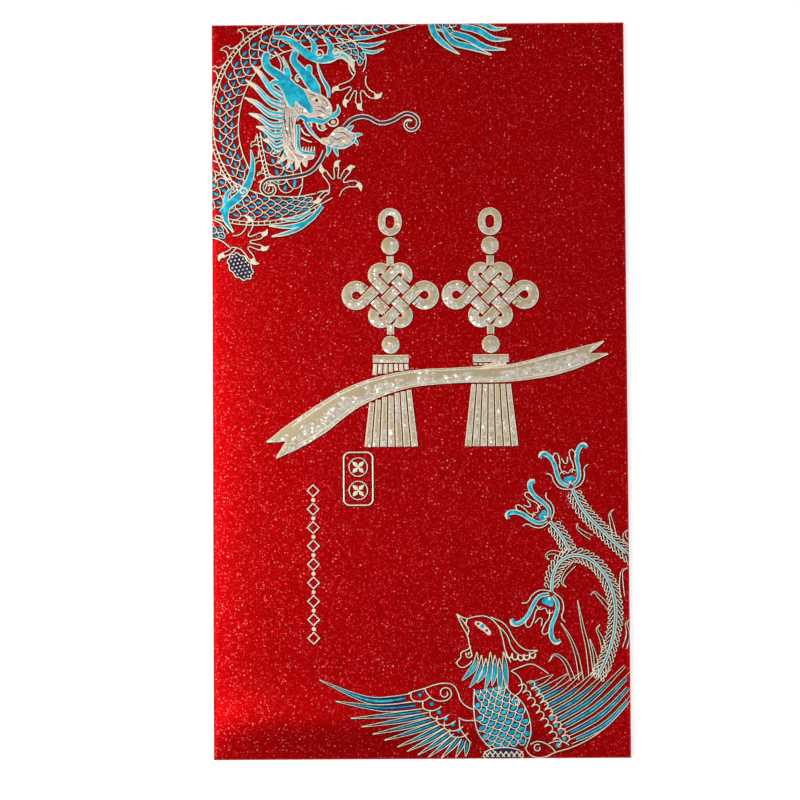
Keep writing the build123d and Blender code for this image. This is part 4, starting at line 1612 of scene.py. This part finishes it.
@dataclass(frozen=True)
class FrontForm:
    """The pillowed form of the front, as heights in mm over the table.

    Attributes:
        half: Half width and half height of the envelope.
        edge_top: Height of the card just inside its folds.
        fold: Radius of the outer half of a fold.
        crown: How far the middle stands over the edges.
        rolls: How fast the card rises from its left, right, bottom and top folds.
        ridge: Height, place in y and reach of the swell over the bottom fold.
        ridge_ends: How fast the swell runs out towards the side folds and the bottom fold.
    """

    half: Point
    edge_top: float = 1.75
    fold: float = 0.75
    crown: float = 0.52
    rolls: tuple[float, float, float, float] = (7.0, 13.0, 5.0, 3.0)
    ridge: tuple[float, float, float] = (1.05, -73.5, 5.6)
    ridge_ends: tuple[float, float] = (12.0, 5.0)

    @property
    def waist(self) -> float:
        """Height of the folds' outermost line."""
        return self.edge_top - self.fold

    def height(self, x: float, y: float) -> float:
        """Gives the height of the card's outer face over the table.

        Args:
            x: Place across the front in mm.
            y: Place along it.

        Returns:
            The height in mm.
        """
        inward = (self.half[0] + x, self.half[0] - x, self.half[1] + y, self.half[1] - y)
        gaps = [max(gap, 0.0) for gap in inward]
        rise = math.prod(1 - math.exp(-gap / roll) for gap, roll in zip(gaps, self.rolls))
        swell, middle, reach = self.ridge
        level = self.edge_top + self.crown * rise
        side, foot = self.ridge_ends
        ends = math.prod(1 - math.exp(-gap / side) for gap in gaps[:2]) * min(1.0, gaps[2] / foot)
        level += swell * ends * math.exp(-((y - middle) / reach) ** 2)
        inset = min(gaps)
        if inset < self.fold:
            level -= self.fold - math.sqrt(self.fold**2 - (self.fold - inset) ** 2)
        return level


@dataclass(frozen=True)
class Piece:
    """A finished mesh's name, a slot name that nothing here reads, and the nodes that it stands for."""

    name: str
    slot: str
    replaced: tuple[str, ...] = ()


def shade(mesh: BMesh, sharp_deg: float) -> None:
    """Shades a mesh smooth, apart from its sharp edges.

    Args:
        mesh: The mesh.
        sharp_deg: Angle from which an edge stays sharp.
    """
    for face in mesh.faces:
        face.smooth = True
    for edge in mesh.edges:
        edge.smooth = edge.calc_face_angle(0.0) < math.radians(sharp_deg)


def make_object(piece: Piece, mesh: BMesh, materials: list[Material]) -> bpy.types.Object:
    """Turns a bmesh in mm into an object in metres.

    Args:
        piece: Its name, slot and the nodes that it stands for.
        mesh: The bmesh, which is freed.
        materials: Its materials, by face material number.

    Returns:
        The new object, at the origin.
    """
    bmesh.ops.scale(mesh, vec=Vector((MM, MM, MM)), verts=mesh.verts)
    data = bpy.data.meshes.new(piece.name)
    mesh.to_mesh(data)
    mesh.free()
    for material in materials:
        data.materials.append(material)
    made = bpy.data.objects.new(piece.name, data)
    bpy.context.scene.collection.objects.link(made)
    if piece.replaced:
        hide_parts(*piece.replaced)
    LOG.info("%s: %d faces", piece.name, len(data.polygons))
    return made


@dataclass
class Stamper:
    """Turns strokes into raised foil that lies on the front."""

    form: FrontForm
    materials: dict[Ink, Material]
    crop: float = 0.08
    grid: float = 1.2
    sharp_deg: float = 60.0

    def stamp(self, piece: Piece, drawing: Drawing, inks: tuple[Ink, ...]) -> bpy.types.Object:
        """Makes one foil piece.

        Args:
            piece: Its name, slot and the nodes that it stands for.
            drawing: The strokes to take from.
            inks: The layers that the piece holds.

        Returns:
            The foil's object, riding on the sleeve.
        """
        whole = bmesh.new()
        for number, ink in enumerate(inks):
            for filled in (False, True):
                strokes = [stroke for stroke in drawing.strokes[ink] if stroke.filled == filled]
                if strokes:
                    self._add(whole, strokes, LEVELS[ink], number)
        self._trim(whole)
        if any(LEVELS[ink].roundness for ink in inks):
            shade(whole, self.sharp_deg)
        made = make_object(piece, whole, [self.materials[ink] for ink in inks])
        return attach(made, SLEEVE)

    def _add(self, whole: BMesh, strokes: list[Stroke], level: Level, number: int) -> None:
        """Adds the strokes of one layer, laid on the card.

        Args:
            whole: The foil's mesh, to add to.
            strokes: The strokes, which are all lines or all fills.
            level: Where the layer lies.
            number: Its material number.
        """
        data = self._curve_mesh(strokes, level)
        layer = bmesh.new()
        layer.from_mesh(data)
        if strokes[0].filled:
            self._dice(layer)
        for vertex in layer.verts:
            x, y, z = vertex.co
            rise = min(max(z * level.slope, -level.cap), level.cap)
            vertex.co.z = self.form.height(x, y) + level.base + rise
        for face in layer.faces:
            face.material_index = number
        layer.to_mesh(data)
        layer.free()
        whole.from_mesh(data)
        bpy.data.meshes.remove(data)

    def _dice(self, layer: BMesh) -> None:
        """Cuts flat fills into small faces that can follow the card.

        Args:
            layer: The fills' mesh.
        """
        for axis in (0, 1):
            normal = Vector((0.0, 0.0, 0.0))
            normal[axis] = 1.0
            reach = [vertex.co[axis] for vertex in layer.verts]
            for k in range(math.ceil(min(reach) / self.grid), math.ceil(max(reach) / self.grid)):
                geometry = layer.verts[:] + layer.edges[:] + layer.faces[:]
                bmesh.ops.bisect_plane(layer, geom=geometry, plane_co=normal * k * self.grid, plane_no=normal)

    @staticmethod
    def _curve_mesh(strokes: list[Stroke], level: Level) -> bpy.types.Mesh:
        """Gives the flat mesh of strokes.

        Args:
            strokes: The strokes, which are all lines or all fills.
            level: Where they lie.

        Returns:
            The mesh in mm.
        """
        filled = strokes[0].filled
        curve = bpy.data.curves.new("strokes", "CURVE")
        curve.dimensions = "2D" if filled else "3D"
        curve.twist_mode = "Z_UP"
        if filled:
            curve.fill_mode = "BOTH"
            curve.extrude = level.cap
        else:
            curve.bevel_depth = 0.5
            curve.bevel_resolution = level.roundness
            curve.use_fill_caps = True
        for stroke in strokes:
            spline = curve.splines.new("BEZIER")
            spline.bezier_points.add(len(stroke.points) - 1)
            spline.use_cyclic_u = stroke.closed
            spline.resolution_u = 6 if level.roundness else 3
            spline.use_smooth = level.roundness > 0
            for k, (knot, (x, y)) in enumerate(zip(spline.bezier_points, stroke.points)):
                knot.co = (x, y, 0.0)
                knot.radius = stroke.width_at(k / max(len(stroke.points) - 1, 1))
                knot.handle_left_type = knot.handle_right_type = "VECTOR" if stroke.straight else "AUTO"
        drawn = bpy.data.objects.new("strokes", curve)
        bpy.context.scene.collection.objects.link(drawn)
        data = bpy.data.meshes.new_from_object(drawn.evaluated_get(bpy.context.evaluated_depsgraph_get()))
        bpy.data.objects.remove(drawn)
        bpy.data.curves.remove(curve)
        return data

    def _trim(self, whole: BMesh) -> None:
        """Cuts the foil off at the folds.

        Args:
            whole: The foil's mesh.
        """
        for axis in (0, 1):
            for way in (-1, 1):
                normal = Vector((0.0, 0.0, 0.0))
                normal[axis] = way
                cut = bmesh.ops.bisect_plane(
                    whole, geom=whole.verts[:] + whole.edges[:] + whole.faces[:], clear_outer=True,
                    plane_co=normal * (self.form.half[axis] - self.crop), plane_no=normal)
                rims = [item for item in cut["geom_cut"] if isinstance(item, bmesh.types.BMEdge)]
                bmesh.ops.holes_fill(whole, edges=rims, sides=0)


class Side(Enum):
    """The three faces of the card: glittered outside, white inside and white cut edge."""

    OUTSIDE = 0
    INSIDE = 1
    EDGE = 2


@dataclass
class CardSheet:
    """The folded and glued card, as panels that meet along the folds' outermost lines."""

    form: FrontForm
    pearl: Material
    plain: Material
    card: float = 0.3
    flap_taper: float = 9.0
    flap_corner: float = 7.0
    foot_taper: float = 5.0
    foot_corner: float = 2.0
    tab_chamfer: float = 6.0
    fold_share: float = 0.25
    back_ease: float = 4.0
    tab_ease: float = 2.5
    sharp_deg: float = 40.0

    def build(self) -> None:
        """Builds every panel, and sets the sleeve as what the front and the glued panels move with."""
        front = Piece("front_sheet", "red_card", ("front_panel",))
        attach(self._panel(front, (96, 136), self._front, Side.OUTSIDE), SLEEVE)
        back_cut = (1, self.back_ease, 0.0)
        tab_cut = (-1, self.tab_ease, self.tab_chamfer)
        foot_cut = (1, self.foot_taper, self.foot_corner)
        flap_cut = (-1, self.flap_taper, self.flap_corner)
        glued = (("back_sheet", ("back_panel", "left_fold"), (70, 60), self._side, back_cut),
                 ("tab_sheet", ("side_seam_tab", "right_fold"), (24, 40), self._side, tab_cut),
                 ("bottom_sheet", ("bottom_flap", "bottom_fold"), (40, 40), self._tongue, foot_cut))
        for name, nodes, cells, place, cut in glued:
            piece = Piece(name, "red_card", nodes)
            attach(self._panel(piece, cells, partial(place, *nodes, *cut), Side.EDGE), SLEEVE)
        closure = Piece("flap_sheet", "red_card", ("closure_flap", "flap_crease"))
        place = partial(self._tongue, *closure.replaced, *flap_cut)
        flap = self._panel(closure, (60, 60), place, Side.EDGE)
        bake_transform(flap)

    def _panel(self, piece: Piece, cells: tuple[int, int], place: Place, rim: Side) -> bpy.types.Object:
        """Makes one panel of card.

        Args:
            piece: Its name, slot and the nodes that it stands for.
            cells: Grid cells across and along it.
            place: Gives the place in mm of each grid point, from -1 to 1 both ways.
            rim: The face of the card that shows around its border.

        Returns:
            The panel's object, with its thickness.
        """
        mesh = bmesh.new()
        bmesh.ops.create_grid(mesh, x_segments=cells[0], y_segments=cells[1], size=1.0)
        for vertex in mesh.verts:
            vertex.co = place(vertex.co.x, vertex.co.y)
        made = make_object(piece, mesh, [self.pearl, self.plain, self.plain])
        wall = made.modifiers.new("card", "SOLIDIFY")
        wall.thickness = self.card * MM
        wall.offset = -1.0
        wall.use_even_offset = True
        wall.material_offset = Side.INSIDE.value
        wall.material_offset_rim = rim.value
        thick = bpy.data.meshes.new_from_object(made.evaluated_get(bpy.context.evaluated_depsgraph_get()))
        made.modifiers.clear()
        thin = made.data
        made.data = thick
        bpy.data.meshes.remove(thin)
        thick.name = piece.name
        solid = bmesh.new()
        solid.from_mesh(thick)
        shade(solid, self.sharp_deg)
        solid.to_mesh(thick)
        solid.free()
        return made

    def _front(self, u: float, v: float) -> Spot:
        """Gives a place on the front, with its grid drawn together at the folds.

        Args:
            u: Place across it, from -1 to 1.
            v: Place along it, from -1 to 1.

        Returns:
            The place in mm.
        """
        x = self.form.half[0] * math.sin(u * math.pi / 2)
        y = self.form.half[1] * math.sin(v * math.pi / 2)
        return x, y, self.form.height(x, y)

    def _around(self, share: float, run: float, drop: float, depth: float) -> tuple[float, float]:
        """Follows the lower half of a fold and then the flat behind it.

        Args:
            share: From 0 at the fold's outermost line to 1 at the panel's far edge.
            run: How far the fold reaches inwards.
            drop: How far it goes down.
            depth: Distance from the fold's outermost line to the far edge.

        Returns:
            The distance inwards and the distance down.
        """
        if share < self.fold_share:
            angle = share / self.fold_share * math.pi / 2
            return run * (1 - math.cos(angle)), drop * math.sin(angle)
        return run + (depth - run) * (share - self.fold_share) / (1 - self.fold_share), drop

    def _side(self, panel: str, fold: str, way: int, settle: float, chamfer: float, u: float,
              v: float) -> Spot:
        """Gives a place on a side fold's lower half and the panel that runs in from it.

        Args:
            panel: Name of the panel's node.
            fold: Name of the fold's node.
            way: 1 for a panel from the left fold, -1 for one from the right.
            settle: Distance over which its ends run from the fold's to its own, in mm.
            chamfer: How far its ends are cut back by its far edge, in mm.
            u: Place across it, from -1 to 1.
            v: Place along it, from -1 to 1.

        Returns:
            The place in mm.
        """
        low, high = node_box(panel)
        fold_low, fold_high = node_box(fold)
        edge, near, far = (fold_low.x, low.x, high.x) if way > 0 else (fold_high.x, high.x, low.x)
        run, depth = abs(near - edge), abs(far - edge)
        inward, down = self._around((u + 1) / 2, run, self.form.waist - low.z, depth)
        ease = min(inward / settle, 1.0)
        cut = chamfer * max(0.0, (inward - run) / (depth - run))
        bottom = fold_low.y + (low.y - fold_low.y) * ease + cut
        top = fold_high.y + (high.y - fold_high.y) * ease - cut
        return edge + way * inward, bottom + (top - bottom) * (1 - way * v) / 2, self.form.waist - down

    def _tongue(self, panel: str, fold: str, way: int, taper: float, corner: float, u: float,
                v: float) -> Spot:
        """Gives a place on an end fold's lower half and the tapered flap that runs in from it.

        Args:
            panel: Name of the flap's node.
            fold: Name of the fold's node.
            way: 1 for the flap from the bottom fold, -1 for the one from the top.
            taper: How far each side runs in by the tip, in mm.
            corner: Radius of the tip's corners in mm.
            u: Place across it, from -1 to 1.
            v: Place along it, from -1 to 1.

        Returns:
            The place in mm.
        """
        low, high = node_box(panel)
        fold_low, fold_high = node_box(fold)
        edge, near, far = (fold_low.y, low.y, high.y) if way > 0 else (fold_high.y, high.y, low.y)
        run, depth = abs(near - edge), abs(far - edge)
        inward, down = self._around((1 - v) / 2, run, self.form.waist, depth)
        half = fold_high.x - taper * max(0.0, (inward - run) / (depth - run))
        left = depth - inward
        if left < corner:
            half -= corner - math.sqrt(max(corner**2 - (corner - left) ** 2, 0.0))
        return way * u * half, edge + way * inward, self.form.waist - down


@dataclass(frozen=True)
class Lamp:
    """A square soft lamp that looks at the envelope's middle, with its place and size in metres."""

    name: str
    place: Spot
    size: float
    watts: float

    def build(self) -> None:
        """Builds the lamp."""
        light = bpy.data.lights.new(self.name, "AREA")
        light.energy = self.watts
        light.size = self.size
        lamp = bpy.data.objects.new(self.name, light)
        lamp.location = self.place
        lamp.rotation_euler = (-Vector(self.place)).to_track_quat("-Z", "Y").to_euler()
        bpy.context.scene.collection.objects.link(lamp)


@dataclass
class Studio:
    """The white table, soft lamps and camera."""

    eye: Spot = (-3.43, -12.33, 349.81)
    target: Spot = (-4.49, -2.44, 1.2)
    roll_deg: float = -0.37
    lens: float = 70.0
    sensor: float = 36.0
    nearest: float = 0.01
    table_half: float = 4.0
    table_gap: float = 0.1
    table_grey: Colour = (0.4, 0.4, 0.4)
    table_reach: Point = (0.15, 0.7)
    table_glow: Point = (0.75, 0.89)
    ambient: float = 0.3
    ceiling: Point = (0.06, 0.34)
    ceiling_turn: Point = (-0.45, -0.1)
    ceiling_rise: Point = (0.3, 0.8)
    lamps: tuple[Lamp, ...] = (Lamp("window_left", (-0.36, -0.03, 0.48), 0.25, 2.7),
                               Lamp("right_fill", (0.4, -0.2, 0.62), 0.6, 0.6))

    def build(self) -> None:
        """Builds the table, world, lamps and camera."""
        self._table()
        self._world()
        for lamp in self.lamps:
            lamp.build()
        self._camera()
        bpy.context.scene.view_settings.view_transform = "Standard"

    @staticmethod
    def _background_rays(bench: Bench) -> Socket:
        """Gives 1 for rays that should see a white background.

        Args:
            bench: The bench to work on.

        Returns:
            The mask.
        """
        path = bench.add("ShaderNodeLightPath").outputs
        seen = bench.maths("MAXIMUM", path["Is Camera Ray"], path["Is Glossy Ray"])
        return bench.maths("MAXIMUM", seen, path["Is Transmission Ray"])

    def _table(self) -> None:
        """Builds the white table, which keeps the envelope's shadow."""
        mesh = bmesh.new()
        bmesh.ops.create_grid(mesh, x_segments=1, y_segments=1, size=self.table_half)
        bmesh.ops.translate(mesh, vec=Vector((0, 0, -self.table_gap * MM)), verts=mesh.verts)
        data = bpy.data.meshes.new("table")
        mesh.to_mesh(data)
        mesh.free()
        material = bpy.data.materials.new("white_table")
        material.use_nodes = True
        bench = Bench(material.node_tree)
        material.node_tree.nodes.clear()
        paint = bench.add("ShaderNodeBsdfDiffuse", {"Color": (*self.table_grey, 1.0)})
        place = bench.add("ShaderNodeTexCoord").outputs["Object"]
        away = bench.add("ShaderNodeVectorMath", {0: place}, operation="LENGTH").outputs["Value"]
        level = bench.spread(bench.step(away, *self.table_reach), *self.table_glow)
        glow = bench.add("ShaderNodeEmission", {
            "Strength": bench.maths("MULTIPLY", self._background_rays(bench), level)})
        both = bench.add("ShaderNodeAddShader", {0: paint.outputs[0], 1: glow.outputs[0]})
        bench.add("ShaderNodeOutputMaterial", {"Surface": both.outputs[0]})
        data.materials.append(material)
        table = bpy.data.objects.new("table", data)
        bpy.context.scene.collection.objects.link(table)

    def _world(self) -> None:
        """Builds a white surround under a ceiling that is dim, and dimmest towards the viewer."""
        world = bpy.data.worlds.new("white_surround")
        world.use_nodes = True
        bpy.context.scene.world = world
        bench = Bench(world.node_tree)
        direction = bench.add("ShaderNodeTexCoord").outputs["Generated"]
        axes = bench.add("ShaderNodeSeparateXYZ", {0: direction}).outputs
        ceiling = bench.spread(bench.step(axes[1], *self.ceiling_turn), *self.ceiling)
        seen = bench.spread(bench.step(axes[2], *self.ceiling_rise), 1.0, ceiling)
        level = bench.add("ShaderNodeMix", {0: self._background_rays(bench), 2: self.ambient, 3: seen})
        bench.connect(world.node_tree.nodes["Background"], {
            "Color": (1.0, 1.0, 1.0, 1.0), "Strength": level.outputs[0]})

    def _camera(self) -> None:
        """Builds the camera over the envelope."""
        eye, target = Vector(self.eye) * MM, Vector(self.target) * MM
        forward = (target - eye).normalized()
        right = forward.cross(Vector((0, 1, 0))).normalized()
        up = right.cross(forward)
        turn = math.radians(self.roll_deg)
        east = right * math.cos(turn) + up * math.sin(turn)
        north = up * math.cos(turn) - right * math.sin(turn)
        lens = bpy.data.cameras.new("camera")
        lens.lens = self.lens
        lens.sensor_width = self.sensor
        lens.clip_start = self.nearest
        camera = bpy.data.objects.new("camera", lens)
        camera.matrix_world = Matrix.Translation(eye) @ Matrix((east, north, -forward)).transposed().to_4x4()
        bpy.context.scene.collection.objects.link(camera)
        bpy.context.scene.camera = camera


def dress_nodes(finishes: dict[str, Material]) -> None:
    """Gives the CAD nodes that still show their finish.

    Args:
        finishes: Materials by node name.
    """
    for name, material in finishes.items():
        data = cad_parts[name].data
        data.materials.clear()
        data.materials.append(material)


def stamp_front(stamper: Stamper) -> None:
    """Stamps every foil and print on the front.

    Args:
        stamper: Makes the pieces.
    """
    emblem = Emblem()
    shine = (Ink.EDGE, Ink.RIM, Ink.CHAMPAGNE)
    pieces = [("ribbon", emblem.ribbon())]
    for side, name in ((-1, "left"), (1, "right")):
        pieces += [(f"{name}_knot", emblem.knot(side)), (f"{name}_tassel", emblem.tassel(side))]
    for name, drawing in pieces:
        # Painted shadow beside each band, shifted down and to the right.
        drawing.press(0.3, (0.12, -0.12))
        stamper.stamp(Piece(name, "champagne_foil", (f"{name}_foil",)), drawing, shine)
    seal = Seal()
    plain = {"seal_frame": seal.frame(), "seal_flower": seal.flowers(), "column": Column().draw()}
    for name, drawing in plain.items():
        # Painted shadow beside each line.
        drawing.press()
        stamper.stamp(Piece(name, "gold_foil", (f"{name}_foil",)), drawing, (Ink.EDGE, Ink.LINE))
    gold = (Ink.EDGE, Ink.RIM, Ink.MOTTLED, Ink.LINE, Ink.OVER_RIM, Ink.TOP)
    blue, dark = (Ink.TURQUOISE, Ink.OVER), (Ink.NAVY, Ink.DARK, Ink.OVER_DARK)
    figures = (("dragon", Dragon().draw(), ("dragon_pearl_print",)), ("phoenix", Phoenix().draw(), ()))
    for name, drawing, printed in figures:
        # Painted shadow beside each line and rim.
        drawing.press()
        for metal, layers in (("gold", gold), ("turquoise", blue)):
            piece = Piece(f"{name}_{metal}", f"{metal}_foil", (f"{name}_{metal}_foil",))
            stamper.stamp(piece, drawing, layers)
        stamper.stamp(Piece(f"{name}_navy", "navy_print", printed), drawing, dark)


def main() -> None:
    """Builds the envelope's looks in order."""
    logging.basicConfig(level=logging.INFO, format="%(name)s: %(message)s")
    Groups.build()
    pearl, plain = PearlCard().build(), PlainCard().build()
    gold = StampedFoil("pale_gold_foil", (0.93, 0.79, 0.61), (0.84, 0.66, 0.48)).build()
    turquoise = StampedFoil("turquoise_foil", (0.004, 0.32, 0.48), (0.03, 0.68, 0.88)).build()
    navy = StampedFoil("navy_print", (0.012, 0.014, 0.055), (0.03, 0.02, 0.06), 0.0, (0.4, 0.6)).build()
    plum = StampedFoil("plum_print", (0.05, 0.014, 0.045), (0.09, 0.03, 0.06), 0.0, (0.35, 0.55)).build()
    # Dark red card for the painted shadows beside the lines.
    pressed = StampedFoil("painted_shadow_red_card", (0.035, 0.0003, 0.0008), (0.075, 0.0005, 0.001), 0.3,
                          (0.5, 0.7)).build()
    # The dragon's face: the same painted reflection on its flanks, with larger random patches.
    mottled = ChampagneFoil("mottled_hologram_foil", dull=(0.44, 0.32, 0.23), pink=(0.84, 0.58, 0.47),
                            green=(0.58, 0.53, 0.38), cover=(-0.1, 0.5), ragged=(-0.3, 0.3), cell=0.58,
                            lean=0.34)
    inks = {Ink.EDGE: pressed, Ink.NAVY: navy, Ink.RIM: gold, Ink.DARK: plum, Ink.TURQUOISE: turquoise,
            Ink.CHAMPAGNE: ChampagneFoil().build(), Ink.LINE: gold, Ink.MOTTLED: mottled.build(),
            Ink.OVER_RIM: gold, Ink.OVER_DARK: plum, Ink.OVER: turquoise, Ink.TOP: gold}
    form = FrontForm((CAD_BOX[1][0] / MM, CAD_BOX[1][1] / MM))
    CardSheet(form, pearl, plain).build()
    stamp_front(Stamper(form, inks))
    glue = SetGlue().build()
    dress_nodes({"side_seam_glue": glue, "bottom_flap_glue": glue})
    Studio().build()


if __name__ == "__main__":
    main()
